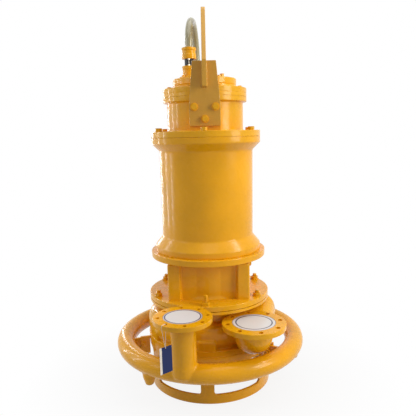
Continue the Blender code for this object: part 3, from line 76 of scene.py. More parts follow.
def makeCamera():
    data = bpy.data.cameras.new("pumpCamera")
    data.sensor_width = 36.0
    data.lens = eye["lens"]
    data.shift_y = eye["rise"]
    data.clip_end = 60
    camera = bpy.data.objects.new("pumpCamera", data)
    scene.collection.objects.link(camera)
    down, yaw, roll = (math.radians(eye[key]) for key in ("down", "yaw", "roll"))
    ahead = Vector((math.sin(yaw) * math.cos(down), math.cos(yaw) * math.cos(down), -math.sin(down)))
    side = Vector((math.cos(yaw), -math.sin(yaw), 0))
    above = side.cross(ahead)
    right = math.cos(roll) * side + math.sin(roll) * above
    top = math.cos(roll) * above - math.sin(roll) * side
    turn = Matrix((right, top, -ahead)).transposed().to_4x4()
    camera.matrix_world = Matrix.Translation(Vector(eye["spot"])) @ turn
    scene.camera = camera


makeCamera()


# Materials
# sRGB hex to a linear colour with alpha
def linear(code):
    values = [int(code[i : i + 2], 16) / 255 for i in (1, 3, 5)]
    return (*[v / 12.92 if v <= 0.04045 else ((v + 0.055) / 1.055) ** 2.4 for v in values], 1.0)


# Adds a ShaderNode of this kind: settings are sockets or node properties, links are socket to (node, output)
def addNode(material, kind, links=None, **settings):
    tree = material.node_tree
    node = tree.nodes.new(f"ShaderNode{kind}")
    for key, value in settings.items():
        name = key.replace("_", " ")
        if hasattr(node, key) and key not in ("name", "inputs"):
            setattr(node, key, value)
        else:
            node.inputs[name].default_value = value
    for socket, (source, output) in (links or {}).items():
        tree.links.new(source.outputs[output], node.inputs[socket])
    return node


def newMaterial(name, **sockets):
    material = bpy.data.materials.new(name)
    material.use_nodes = True
    shader = material.node_tree.nodes["Principled BSDF"]
    for key, value in sockets.items():
        shader.inputs[key.replace("_", " ")].default_value = value
    return material, shader


def wire(material, source, output, target, socket):
    material.node_tree.links.new(source.outputs[output], target.inputs[socket])


# Colours the shader by a ramp of (place, colour) over the factor
def tint(material, shader, factor, stops):
    node = addNode(material, "ValToRGB", {"Fac": factor})
    elements = node.color_ramp.elements
    while len(elements) < len(stops):
        elements.new(0.5)
    for element, (place, colour) in zip(elements, stops):
        element.position = place
        element.color = colour
    wire(material, node, "Color", shader, "Base Color")


# One for rays that reach the surface straight, in a reflection or through glass
def seenStraight(material):
    seen = addNode(material, "LightPath")
    links = {0: (seen, "Is Camera Ray"), 1: (seen, "Is Glossy Ray")}
    glossy = addNode(material, "Math", links, operation="ADD")
    links = {0: (glossy, "Value"), 1: (seen, "Is Transmission Ray")}
    return addNode(material, "Math", links, operation="ADD")


# Noise on the Object coordinates, one patch every 1/scale metres
def noise(material, scale, detail):
    spot = addNode(material, "TexCoord")
    return addNode(material, "TexNoise", {"Vector": (spot, "Object")}, Scale=scale, Detail=detail)


# Lifts the surface by the noise, on top of an earlier relief if given
def relief(material, shader, grain, strength, depth, below=None):
    links = {"Height": (grain, "Fac")}
    if below:
        links["Normal"] = (below, "Normal")
    bump = addNode(material, "Bump", links, Strength=strength, Distance=depth)
    wire(material, bump, "Normal", shader, "Normal")
    return bump


# Sprayed alkyd enamel: a deep warm yellow in broad soft patches, with a cast skin and orange peel
enamel = {
    "sprayed": ("#DDA00F", "#E8A60E", "#F0AC12"),
    "castTones": ("#DCA212", "#E8A910", "#F1AF14"),
    # the lifting frame's tones, darker and greyer than the sprayed ones: partly its duller paint, partly
    # painted hazy light and shade where light falls on the pump's top
    "dullerWithPaintedHazeAndShade": ("#C8953A", "#CE9B3A", "#D29F38"),
    "patchScale": 5.5,
    "smearScale": 26.0,
    "cast": 0.016,
    "castDepth": 0.002,
    "peel": 0.0045,
    "peelDepth": 0.0006,
    "roughLow": 0.20,
    "roughHigh": 0.34,
    "coat": 0.18,
    "coatRough": 0.07,
    "gloss": 0.18,
}


# castShare is how much of the sand casting's skin shows through, peelShare the spray's orange peel
def makeEnamel(name, castShare, peelShare, tones="sprayed"):
    material, shader = newMaterial(
        name,
        Coat_Weight=enamel["coat"],
        Coat_Roughness=enamel["coatRough"],
        Specular_IOR_Level=enamel["gloss"],
    )
    shade, thin, thick = (linear(code) for code in enamel[tones])
    broad = noise(material, enamel["patchScale"], 3.0)
    tint(material, shader, (broad, "Fac"), [(0.30, shade), (0.52, thin), (0.72, thick)])
    rough = addNode(
        material,
        "MapRange",
        {"Value": (noise(material, enamel["smearScale"], 4.0), "Fac")},
        From_Min=0.35,
        From_Max=0.65,
        To_Min=enamel["roughLow"],
        To_Max=enamel["roughHigh"],
    )
    wire(material, rough, "Result", shader, "Roughness")
    skin = relief(material, shader, noise(material, 1 / enamel["cast"], 5.0), castShare, enamel["castDepth"])
    peel = noise(material, 1 / enamel["peel"], 1.0)
    relief(material, shader, peel, peelShare, enamel["peelDepth"], skin)
    return material


plateEnamel = makeEnamel("sprayedEnamelOnPlate", 0.10, 0.22)
castEnamel = makeEnamel("sprayedEnamelOnCasting", 0.42, 0.30, "castTones")
# The lifting frame's enamel carries painted hazy light and shade, so it is darker and greyer than the rest
frameEnamelWithPaintedHazeAndShade = makeEnamel("enamelOnPlateWithPaintedHazeAndShade", 0.16, 0.20, "dullerWithPaintedHazeAndShade")


# Two close tones in a fine grain: their places in the noise, its detail and the depth of its relief
metalGrain = ((0.30, 0.70), 3.0, 0.0005)
matterGrain = ((0.35, 0.65), 4.0, 0.0004)


def makeGrained(name, low, high, roughness, size, strength, grain=matterGrain, **sockets):
    (first, last), detail, depth = grain
    material, shader = newMaterial(name, Roughness=roughness, **sockets)
    fine = noise(material, 1 / size, detail)
    tint(material, shader, (fine, "Fac"), [(first, low), (last, high)])
    relief(material, shader, fine, strength, depth)
    return material


# Bare metal, with the darker tone worked out from the pale one
def makeBrushed(name, code, roughness, size):
    pale = linear(code)
    dark = (*[c * 0.72 for c in pale[:3]], 1.0)
    return makeGrained(name, dark, pale, roughness, size, 0.15, metalGrain, Metallic=1.0)


# A moulded, pressed or spun material
def makePlain(name, low, high, *rest, **sockets):
    return makeGrained(name, linear(low), linear(high), *rest, **sockets)


zincPlate = makeBrushed("zincPlatedSteel", "#B9B4A6", 0.38, 0.004)
turnedSteel = makeBrushed("turnedSteel", "#C2C2C4", 0.28, 0.003)
whiteIron = makeBrushed("highChromeIron", "#8C8B89", 0.55, 0.008)
coreSteel = makeBrushed("laminatedSteel", "#5E5F66", 0.45, 0.003)
windingCopper = makeBrushed("enamelledCopper", "#B4693A", 0.35, 0.003)
rubberBlack = makePlain("mouldedRubber", "#19191A", "#262627", 0.62, 0.003, 0.2)
sealCeramic = makePlain("lappedCeramic", "#D9D6CC", "#E6E3DA", 0.25, 0.002, 0.05)
gasketFibre = makePlain("pressedFibre", "#4A4F49", "#5C625B", 0.85, 0.002, 0.3)
sheathOlive = makePlain("oliveCableSheath", "#96906F", "#A49D7C", 0.24, 0.006, 0.12, Coat_Weight=0.4)
cottonString = makePlain("cottonString", "#DEDAD0", "#EFECE4", 0.8, 0.001, 0.4)
coreBrown = makePlain("brownCoreInsulation", "#5A3524", "#66402D", 0.4, 0.003, 0.1)
coreBlack = makePlain("blackCoreInsulation", "#1C1C1E", "#2A2A2C", 0.4, 0.003, 0.1)
coreGrey = makePlain("greyCoreInsulation", "#6E7072", "#7E8082", 0.4, 0.003, 0.1)

# Cover film: white with a thin printed dark ring, and a grey rim of painted shade at the disc's edge, drawn
# about the disc's centre
film = {
    "white": "#DCDEE3",
    "ink": "#34385A",
    # grey: painted shade round the disc's edge, where it meets the flange
    "grey": "#9593A8",
    "halfLine": 0.0022,
    "fade": 0.0010,
    "rim": 0.0032,
}


def makeFilm(name, centre, ringRadius, edge):
    material, shader = newMaterial(name, Roughness=0.42, Coat_Weight=0.3)
    spot = addNode(material, "TexCoord")
    centred = addNode(material, "Mapping", {"Vector": (spot, "Object")}, Location=tuple(-centre))
    apart = addNode(material, "SeparateXYZ", {"Vector": (centred, "Vector")})
    flat = addNode(material, "CombineXYZ", {"X": (apart, "X"), "Y": (apart, "Y")})
    reach = addNode(material, "VectorMath", {"Vector": (flat, "Vector")}, operation="LENGTH")
    share = addNode(material, "MapRange", {"Value": (reach, "Value")}, From_Max=edge)
    half, fade, rim = film["halfLine"], film["fade"], edge - film["rim"]
    stops = [
        (ringRadius - half - fade, "white"),
        (ringRadius - half, "ink"),
        (ringRadius + half, "ink"),
        (ringRadius + half + fade, "white"),
        # the grey rim at the edge is painted shade
        (rim, "white"),
        (rim + fade, "grey"),
    ]
    tint(material, shader, (share, "Result"), [(reached / edge, linear(film[ink])) for reached, ink in stops])
    relief(material, shader, noise(material, 28.0, 2.0), 0.12, 0.002)
    return material


report("materials made")


# Mesh helpers
def shift(bm, offset=(0, 0, 0), turn=0.0, tilt=None):
    matrix = Matrix.Translation(Vector(offset)) @ Matrix.Rotation(math.radians(turn), 4, "Z")
    bmesh.ops.transform(bm, matrix=matrix @ tilt if tilt else matrix, verts=bm.verts)
    return bm


layX = Matrix.Rotation(math.radians(90), 4, "X")
layY = Matrix.Rotation(math.radians(90), 4, "Y")


# A full turn of the outline about the upright axis
def swept(bm, steps):
    geom, middle, axis = bm.verts[:] + bm.edges[:], (0, 0, 0), (0, 0, 1)
    bmesh.ops.spin(bm, geom=geom, cent=middle, axis=axis, angle=math.tau, steps=steps, use_merge=True)
    bmesh.ops.remove_doubles(bm, verts=bm.verts, dist=1e-6)
    bmesh.ops.recalc_face_normals(bm, faces=bm.faces)
    return bm


# Spins (r, z) corners, or (r, z, round) with a rounded one; a profile that starts on the axis ends there too
def spun(profile, steps):
    bm = bmesh.new()
    corners = [bm.verts.new((p[0], 0, p[1])) for p in profile]
    for a, b in zip(corners, corners[1:]):
        bm.edges.new((a, b))
    if profile[0][0]:
        bm.edges.new((corners[-1], corners[0]))
    rounds = {}
    for corner, p in zip(corners, profile):
        if len(p) > 2:
            rounds.setdefault(p[2], []).append(corner)
    for width, chosen in rounds.items():
        bmesh.ops.bevel(
            bm, geom=chosen, offset=width, segments=4, profile=0.5, affect="VERTICES", material=-1
        )
    return swept(bm, steps)


# Round bar and round sleeve between two heights; top and bottom round their outer edges
def rod(radius, low, high, steps, top=(), bottom=()):
    return spun([(0, high), (radius, high, *top), (radius, low, *bottom), (0, low)], steps)


def sleeve(outer, inner, low, high, steps, top=(), bottom=()):
    return spun([(outer, high, *top), (outer, low, *bottom), (inner, low), (inner, high)], steps)


# Rounds every edge that turns more than the given angle
def softened(bm, width, segments=2, sharp=25):
    edges = [e for e in bm.edges if e.is_manifold and e.calc_face_angle(0) > math.radians(sharp)]
    bmesh.ops.bevel(
        bm, geom=edges, offset=width, segments=segments, profile=0.5, affect="EDGES", material=-1
    )
    return bm


# Extrudes these faces straight up
def lifted(bm, faces, rise):
    top = bmesh.ops.extrude_face_region(bm, geom=faces)["geom"]
    bmesh.ops.translate(bm, verts=[v for v in top if isinstance(v, bmesh.types.BMVert)], vec=(0, 0, rise))
    bmesh.ops.recalc_face_normals(bm, faces=bm.faces)
    return bm


# Extrudes an (x, y) outline from low to high and rounds its edges
def raised(outline, low, high, width=0.0):
    bm = bmesh.new()
    face = bm.faces.new([bm.verts.new((x, y, low)) for x, y in outline])
    lifted(bm, [face], high - low)
    return softened(bm, width) if width else bm


def block(low, high, width=0.0):
    (x0, y0, z0), (x1, y1, z1) = low, high
    return raised([(x0, y0), (x1, y0), (x1, y1), (x0, y1)], z0, z1, width)


# One bmesh of several, each left as its own shell
def joined(meshes):
    whole = bmesh.new()
    for bm in meshes:
        part = bpy.data.meshes.new("part")
        bm.to_mesh(part)
        bm.free()
        whole.from_mesh(part)
        bpy.data.meshes.remove(part)
    return whole


# Copies of a made shape at even angles
def around(count, radius, turn, make):
    return joined(
        [shift(make(), polar(radius, turn + i * 360 / count), turn + i * 360 / count) for i in range(count)]
    )


def asObject(name, bm):
    mesh = bpy.data.meshes.new(name)
    bm.to_mesh(mesh)
    bm.free()
    made = bpy.data.objects.new(name, mesh)
    scene.collection.objects.link(made)
    return made


# The object's mesh with its modifiers, as a bmesh; the object is removed
def evaluated(obj):
    graph = bpy.context.evaluated_depsgraph_get()
    bm = bmesh.new()
    bm.from_object(obj, graph)
    mesh = obj.data
    bpy.data.objects.remove(obj)
    if not mesh.users:
        bpy.data.meshes.remove(mesh)
    return bm


# Cuts one shape out of another with an exact Boolean
def carved(bm, cutter):
    target, tool = asObject("carveTarget", bm), asObject("carveTool", cutter)
    change = target.modifiers.new("carve", "BOOLEAN")
    change.operation, change.solver, change.object = "DIFFERENCE", "EXACT", tool
    result = evaluated(target)
    mesh = tool.data
    bpy.data.objects.remove(tool)
    bpy.data.meshes.remove(mesh)
    return result


# Melts overlapping shapes into one casting with soft fillets where they meet
def castTogether(meshes, voxel, passes):
    lump = asObject("castLump", joined(meshes))
    melt = lump.modifiers.new("melt", "REMESH")
    melt.mode, melt.voxel_size = "VOXEL", voxel
    ease = lump.modifiers.new("ease", "SMOOTH")
    ease.factor, ease.iterations = 0.5, passes
    return evaluated(lump)


# Names the piece, moves it onto the pump's axis, shades it and hangs it on its body
def finish(name, bm, nodes=(), material=castEnamel, smooth=40):
    shift(bm, axisSpot)
    piece = asObject(name, bm)
    piece.data.materials.append(material)
    piece.data.shade_smooth()
    piece.data.set_sharp_from_angle(angle=math.radians(smooth))
    piece.modifiers.new("flatFacesStayFlat", "WEIGHTED_NORMAL").keep_sharp = True
    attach(piece, "pump")
    if nodes:
        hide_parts(*nodes)
    return piece


# A round tube along the path, as a curve
def tubeAlong(name, path, radius, steps):
    data = bpy.data.curves.new(name, "CURVE")
    data.dimensions, data.bevel_depth, data.bevel_resolution, data.use_fill_caps = "3D", radius, steps, True
    spline = data.splines.new("POLY")
    spline.points.add(len(path) - 1)
    for point, spot in zip(spline.points, path):
        point.co = (*spot, 1.0)
    tube = bpy.data.objects.new(name, data)
    scene.collection.objects.link(tube)
    return tube


# A weld bead: a tube whose radius ripples every few millimetres
def bead(path, radius, closed=False):
    tube = tubeAlong("bead", path, 1.0, 2)
    data = tube.data
    for i, point in enumerate(data.splines[0].points):
        point.radius = radius * (1 + 0.12 * math.sin(i * 1.9) + 0.05 * math.sin(i * 0.53))
    data.splines[0].use_cyclic_u = closed
    graph = bpy.context.evaluated_depsgraph_get()
    mesh = bpy.data.meshes.new_from_object(tube.evaluated_get(graph))
    bm = bmesh.new()
    bm.from_mesh(mesh)
    bpy.data.objects.remove(tube)
    bpy.data.curves.remove(data)
    bpy.data.meshes.remove(mesh)
    bmesh.ops.remove_doubles(bm, verts=bm.verts, dist=1e-6)
    bmesh.ops.recalc_face_normals(bm, faces=bm.faces)
    return bm


def along(start, end, step=0.0016):
    start, end = Vector(start), Vector(end)
    count = max(2, round((end - start).length / step))
    return [start.lerp(end, i / count) for i in range(count + 1)]


# Hexagon head on z = 0 with its chamfered corners, and a washer below it if asked
def hexHead(across, rise, washer=0.0):
    bm = bmesh.new()
    bmesh.ops.create_circle(bm, cap_ends=True, segments=6, radius=across)
    low = 0.002 if washer else 0.0002
    bmesh.ops.translate(bm, verts=bm.verts, vec=(0, 0, low))
    lifted(bm, bm.faces[:], rise - low)
    softened(bm, across * 0.09, 2)
    return joined([bm, rod(washer, 0.0001, 0.0022, 32, (0.0006,))] if washer else [bm])


# A stud's threaded end: ridges every two millimetres and a chamfered tip
def threadedEnd(radius, low, high, pitch=0.002):
    count = int((high - low - 0.002) / pitch)
    corners = [(0, low)]
    for i in range(count):
        corners += [(radius, low + i * pitch), (radius * 0.88, low + (i + 0.5) * pitch)]
    corners += [(radius * 0.98, high - 0.0022), (radius * 0.76, high), (0, high)]
    return spun(corners, 20)


# Pipe flange with its bolt holes
def flangeDisc(radius, low, high, bore, count, circle, turn, hole):
    disc = sleeve(radius, bore, low, high, 96, (0.002,), (0.002,))
    return carved(disc, around(count, circle, turn, lambda: rod(hole, low - 0.02, high + 0.02, 28)))


seat = 0.0003  # thin joint between two seated pieces

firstStud = -93  # angle of the first casing stud, the other five follow every 60 degrees

# Where each piece starts and ends above the floor, with the thin joints between them
heights = {
    "suction": 0.2118,
    "casing": 0.2361,
    "casingTop": 0.4414,
    "frame": 0.4440,
    "frameFlangeTop": 0.4680,
    "frameTop": 0.6436,
    "shield": 0.6439,
    "shieldTop": 0.6724,
    "motor": 0.6727,
    "motorTop": 1.1989,
    "upper": 1.1992,
    "upperFlangeTop": 1.2262,
    "upperTop": 1.3719,
    "cover": 1.3722,
    "coverTop": 1.4107,
    "cableCover": 1.4110,
    "cableCoverTop": 1.4530,
}

# Power cable: 34 mm sheath, up out of the gland, over in a loop, down behind the motor and into its coil
cable = {
    "radius": 0.017,
    "length": 9.08,
    "glandX": -0.0668,
    "glandTop": 1.5897,
    "coil": (0.04, 0.95),
    "coilRadius": 0.306,
    "entry": 215.0,
    "gap": 0.004,
    "tailGap": 0.0014,
}


# Even points on a Catmull-Rom curve through the knots
def smoothPath(knots, spacing):
    padded = [knots[0] * 2 - knots[1]] + knots + [knots[-1] * 2 - knots[-2]]
    dense = []
    for a, b, c, d in zip(padded, padded[1:], padded[2:], padded[3:]):
        for step in range(16):
            t = step / 16
            point = 0.5 * (2 * b + (c - a) * t + (2 * a - 5 * b + 4 * c - d) * t * t)
            dense.append(point + 0.5 * (3 * b - a - 3 * c + d) * t**3)
    dense.append(knots[-1])
    lengths = [0.0]
    for before, after in zip(dense, dense[1:]):
        lengths.append(lengths[-1] + (after - before).length)
    count = round(lengths[-1] / spacing)
    path, place = [], 0
    for step in range(count + 1):
        target = lengths[-1] * step / count
        while place < len(dense) - 2 and lengths[place + 1] < target:
            place += 1
        span = lengths[place + 1] - lengths[place]
        path.append(dense[place].lerp(dense[place + 1], (target - lengths[place]) / span if span else 0))
    return path


# Point of the coil after this many degrees, four slots of turns side by side and on each other
def coilSpot(wound):
    r, radius = cable["radius"], cable["coilRadius"]
    low, high = r + 0.0005, 3 * r + 0.0005
    stations = [
        (0, radius + 3 * r + cable["gap"], low),
        (42, radius + r, low),
        (318, radius + r, low),
        (360, radius + r, high),
        (636, radius + r, high),
        (678, radius - r, high),
        (954, radius - r, high),
        (996, radius - r, low),
        (1233, radius - r, low),
        (1275, radius - 3 * r - cable["tailGap"], low),
    ]
    for (a, ra, za), (b, rb, zb) in zip(stations, stations[1:]):
        if wound <= b:
            share = (wound - a) / (b - a)
            ease = share * share if b == 1275 else share * share * (3 - 2 * share)
            spot = polar(ra + (rb - ra) * ease, cable["entry"] - wound, za + (zb - za) * ease)
            return spot + Vector((*cable["coil"], 0))


def makeCable():
    x, z, floor = cable["glandX"], cable["glandTop"], cable["radius"] + 0.0005
    r = cable["coilRadius"] + 3 * cable["radius"] + cable["gap"]
    centre = Vector((*cable["coil"], floor))
    spots = [
        (x, 0, z + 0.0003),
        (x, 0, z + 0.020),
        (x + 0.001, 0.006, z + 0.050),
        (x + 0.004, 0.040, z + 0.097),
        (x + 0.010, 0.098, z + 0.1306),
        (x + 0.017, 0.168, z + 0.1306),
        (x + 0.023, 0.228, z + 0.092),
        (x + 0.028, 0.262, z + 0.015),
        (-0.036, 0.281, 1.45),
        (-0.033, 0.297, 1.20),
        (-0.029, 0.318, 0.90),
        (-0.027, 0.352, 0.62),
        (-0.031, 0.404, 0.42),
        (-0.041, 0.466, 0.29),
        (-0.064, 0.534, 0.165),
        (-0.100, 0.595, 0.068),
        (-0.140, 0.636, floor + 0.006),
    ]
    knots = [Vector(spot) for spot in spots] + [centre + polar(r, cable["entry"] + 17)]
    knots += [coilSpot(wound) for wound in range(0, 1276, 15)]
    path = [point + axisSpot for point in smoothPath(knots, 0.012)]
    run = tubeAlong("powerCable", path, cable["radius"], 6)
    run.data.materials.append(sheathOlive)
    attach(run, "pump")
    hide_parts("cable_run", "cable_coil")
    return run, path


powerCable, cablePath = makeCable()

# Cable end: shrunk boot and three cores with crimped lugs, each from and to how far along the cable
tail = {
    "boot": 0.080,
    "core": 0.0045,
    "corePart": (0.070, 0.116),
    "barrel": 0.0058,
    "barrelPart": (0.114, 0.134),
    "palmThick": 0.0015,
    "palmPart": (0.130, 0.150),
    "turn": 2,
}
cores = {
    "Brown": (-0.0075, -0.0035, coreBrown),
    "Black": (0.0075, -0.0035, coreBlack),
    "Grey": (0.0, 0.0065, coreGrey),
}


def makeCableTail():
    r, turn, barrel, palm = cable["radius"], tail["turn"], tail["barrel"], tail["palmThick"]
    inside = cable["coilRadius"] - 3 * r - cable["tailGap"]
    spot = Vector((*cable["coil"], r + 0.0005)) + polar(inside, 20)
    boot = [
        (0, tail["boot"]),
        (r * 0.62, tail["boot"], 0.004),
        (r * 0.82, 0.066, 0.006),
        (r, 0.052, 0.006),
        (r, 0.0),
        (0, 0),
    ]
    boot = shift(spun(boot, 28), spot, turn, layX)
    pieces = [finish("cableBoot", boot, ["cable_tail"], rubberBlack)]
    for name, (across, z, material) in cores.items():
        core = shift(rod(tail["core"], *tail["corePart"], 20, (0.001,)), (across, 0, z), tilt=layX)
        pieces.append(finish(f"core{name}", shift(core, spot, turn), (), material))
        (start, end), crimp = tail["palmPart"], rod(barrel, *tail["barrelPart"], 20, (0.0012,), (0.0012,))
        lug = joined([crimp, block((-barrel, -palm, start), (barrel, palm, end), 0.0008)])
        shift(lug, (across, 0, z), tilt=layX)
        pieces.append(finish(f"lug{name}", shift(lug, spot, turn), (), turnedSteel))
    return pieces


cableEnd = makeCableTail()
report("cable laid")

# Base skirt: rolled band, six rounded windows, bolting shelf inside its top edge with a weld under it
skirt = {
    "radius": 0.299,
    "wall": 0.012,
    "height": 0.2115,
    "low": 0.045,
    "high": 0.1915,
    "half": 0.1216,
    "corner": 0.018,
    "turn": 27.0,
    "shelf": 0.045,
    "shelfThick": 0.012,
    "weld": 0.004,
}


def makeWindow(turn):
    low, high, half = skirt["low"], skirt["high"], skirt["half"]
    bm = bmesh.new()
    bm.faces.new(
        [bm.verts.new((x, z, 0)) for x, z in ((-half, low), (half, low), (half, high), (-half, high))]
    )
    bmesh.ops.bevel(
        bm, geom=bm.verts[:], offset=skirt["corner"], segments=6, profile=0.5, affect="VERTICES", material=-1
    )
    lifted(bm, bm.faces[:], 0.12)
    return shift(shift(bm, (0, -0.21, 0), tilt=layX), turn=turn)


def makeSkirt():
    outer, top = skirt["radius"], skirt["height"]
    inner, under = outer - skirt["wall"], top - skirt["shelfThick"]
    shelf = inner - skirt["shelf"]
    corners = [
        (outer, top, 0.002),
        (outer, 0, 0.0015),
        (inner, 0, 0.0015),
        (inner, under),
        (shelf, under, 0.001),
        (shelf, top, 0.001),
    ]
    windows = joined([makeWindow(skirt["turn"] + 60 * i) for i in range(6)])
    band = carved(spun(corners, 144), windows)
    weld = bead([polar(inner - 0.001, a, under - 0.001) for a in range(360)], skirt["weld"], True)
    finish("baseSkirt", joined([band, weld]), ["base_skirt"], plateEnamel)


makeSkirt()

# Suction plate under the casing, with the lip of its mouth
suction = {"radius": 0.305, "thick": 0.024, "mouth": 0.088, "lip": 0.022, "lipWall": 0.016, "lipFoot": 0.028}


def makeSuctionPlate():
    low, mouth = heights["suction"], suction["mouth"]
    top, lip = low + suction["thick"], low - suction["lip"]
    corners = [
        (suction["radius"], top, 0.0015),
        (suction["radius"], low, 0.002),
        (mouth + suction["lipFoot"], low, 0.006),
        (mouth + suction["lipWall"], lip, 0.003),
        (mouth, lip, 0.003),
        (mouth, top, 0.001),
    ]
    finish("suctionPlate", spun(corners, 120), ["suction_plate"])


makeSuctionPlate()

# Brackets of the jet ring: a stepped lug on the casing and a plate lapped on it, with one bolt
bracket = {
    "angles": (-165.0, -33.0, 82.0),
    "lugInner": 0.293,
    "lugStep": 0.308,
    "lugOuter": 0.354,
    "lugTop": 0.250,
    "lugHalf": 0.006,
    "plateInner": 0.317,
    "plateOuter": 0.398,
    "plateTopOuter": 0.395,
    "plateHeel": 0.186,
    "plateTop": 0.240,
    "plateNear": 0.0063,
    "plateFar": 0.0183,
    "low": 0.160,
    "round": 0.0015,
    "boltSpot": (0.337, 0, 0.2095),
    "weld": 0.0028,
}

# Volute casing: spiral channel, drum and foot lugs melted together, with turned flanges and bracket lugs
volute = {
    "drum": 0.208,
    "flange": 0.291,
    "foot": 0.305,
    "reachStart": 0.268,
    "reachEnd": 0.331,
    "inner": 0.170,
    "riseStart": 0.058,
    "riseEnd": 0.090,
    "first": -45.0,
    "outlet": (0.1963, -0.2947, 0.396),
    "pipe": 0.084,
    "bore": 0.075,
    "bend": 0.048,
    "outletFlange": 0.1425,
    "turn": 9.0,
    "disc": 0.0965,
    "discGap": 0.0004,
    "sides": 32,
    "channelFloor": 0.006,
    "elbowDrop": 0.092,
    "endDrop": 0.004,
    "footThick": 0.0262,
    "flangeThick": 0.014,
    "outletThick": 0.024,
    "boltCircle": 0.120,
    "hole": 0.011,
}


def circle(bm):
    return bmesh.ops.create_circle(bm, segments=volute["sides"], radius=1.0)["verts"]


# Adds one rounded section of the channel at this angle and returns its vertices
def spiralRing(bm, angle):
    share = (volute["first"] - angle) / (360 + volute["first"])
    reach = volute["reachStart"] + (volute["reachEnd"] - volute["reachStart"]) * share**0.6
    rise = volute["riseStart"] + (volute["riseEnd"] - volute["riseStart"]) * share
    middle = (reach + volute["inner"]) / 2
    ring = circle(bm)
    for vert in ring:
        x, y = vert.co.x, vert.co.y
        across = math.copysign(abs(x) ** 0.8, x) * (reach - middle)
        up = math.copysign(abs(y) ** 0.8, y) * rise
        vert.co = polar(middle + across, angle, heights["casing"] + volute["channelFloor"] + rise + up)
    return ring


# Skins a row of rings and closes both ends
def bridge(bm, rings):
    loops = [[e for e in bm.edges if e.verts[0] in set(ring) and e.verts[1] in set(ring)] for ring in rings]
    for before, after in zip(loops, loops[1:]):
        bmesh.ops.bridge_loops(bm, edges=before + after)
    bmesh.ops.edgeloop_fill(bm, edges=loops[0])
    bmesh.ops.edgeloop_fill(bm, edges=loops[-1])
    bmesh.ops.recalc_face_normals(bm, faces=bm.faces)
    return bm


# The channel: the spiral, a run that eases out of it to the elbow, the elbow and its upright end
def makeChannel():
    bm = bmesh.new()
    first, steps = volute["first"], 42
    rings = [spiralRing(bm, first - (360 + first) * i / steps) for i in range(steps + 1)]
    last = [v.co.copy() for v in rings[-1]]
    x, y, z = volute["outlet"]
    pipe, bend = volute["pipe"], volute["bend"]
    endZ = z - volute["endDrop"]
    elbowZ = endZ - volute["elbowDrop"]
    oval = elbowZ - heights["casing"] - 0.002
    startZ = heights["casing"] + volute["channelFloor"] + volute["riseEnd"]
    start = Vector(((volute["reachEnd"] + volute["inner"]) / 2, 0, startZ))
    end = Vector((x, y + bend, elbowZ))
    for share in (0.25, 0.5, 0.75, 1.0):
        ring = circle(bm)
        for vert, old in zip(ring, last):
            rim = end + Vector((vert.co.x * pipe, 0, vert.co.y * oval))
            vert.co = (old + (end - start) * share).lerp(rim, share * share * (3 - 2 * share))
        rings.append(ring)
    hinge = Vector((x, y + bend, elbowZ + bend))
    for degrees in range(9, 91, 9):
        turn = Matrix.Rotation(math.radians(-degrees), 3, "X")
        height = oval + (pipe - oval) * degrees / 90
        ring = circle(bm)
        for vert in ring:
            rim = end + Vector((vert.co.x * pipe, 0, vert.co.y * height))
            vert.co = turn @ (rim - hinge) + hinge
        rings.append(ring)
    ring = circle(bm)
    for vert, old in zip(ring, rings[-1]):
        vert.co = (old.co.x, old.co.y, endZ)
    return bridge(bm, rings + [ring])


# Six lugs round the foot, each behind a casing stud
def makeFootLugs(foot):
    low, high = (volute["drum"] - 0.01, -0.041, foot - 0.012), (volute["foot"] - 0.003, 0.041, foot + 0.045)
    return [shift(block(low, high, 0.005), turn=firstStud + 60 * i) for i in range(6)]


# A bracket's upright plate from its outline of (radius, z), at this angle round the pump
def standing(outline, near, far, angle):
    return shift(shift(raised(outline, near, far, bracket["round"]), tilt=layX), turn=angle)


def makeBracketLugs():
    inner, step, outer = bracket["lugInner"], bracket["lugStep"], bracket["lugOuter"]
    seatZ, low, top, half = heights["casing"] + 0.001, bracket["low"], bracket["lugTop"], bracket["lugHalf"]
    outline = [(inner, seatZ), (step, seatZ), (step, low), (outer, low), (outer, top), (inner, top)]
    return [standing(outline, -half, half, angle) for angle in bracket["angles"]]


def makeOutlet():
    x, y, z = volute["outlet"]
    disc = volute["disc"]
    holes = (8, volute["boltCircle"], volute["turn"], volute["hole"])
    flange = flangeDisc(
        volute["outletFlange"], z - volute["outletThick"], z, disc + volute["discGap"], *holes
    )
    neck = sleeve(disc + 0.002, volute["bore"], z - 0.023, z - 0.0035, 64)
    return shift(joined([flange, neck]), (x, y, 0))


def makeVolute():
    low, high = heights["casing"], heights["casingTop"]
    foot, flange = low + volute["footThick"], high - volute["flangeThick"]
    drum, reach, middle = volute["drum"], volute["foot"] - 0.010, 0.12
    corners = [
        (drum + 0.030, flange + 0.004, 0.008),
        (drum, flange - 0.014, 0.010),
        (drum, foot, 0.012),
        (reach, foot - 0.004, 0.004),
        (reach, low + 0.004),
        (middle, low + 0.004),
        (middle, flange + 0.004),
    ]
    body = castTogether([spun(corners, 96), makeChannel()] + makeFootLugs(foot), 0.004, 5)
    rim = sleeve(volute["foot"], 0.25, low, foot, 120, (0.0025,), (0.0015,))
    corners = [
        (volute["flange"], high, 0.0015),
        (volute["flange"], flange, 0.003),
        (drum + 0.012, flange, 0.008),
        (drum, flange - 0.012),
        (0.19, flange - 0.012),
        (0.19, high),
    ]
    casing = joined([body, rim, spun(corners, 120), makeOutlet()] + makeBracketLugs())
    finish("voluteCasing", casing, ["volute_casing"], smooth=50)


makeVolute()
report("casing cast")

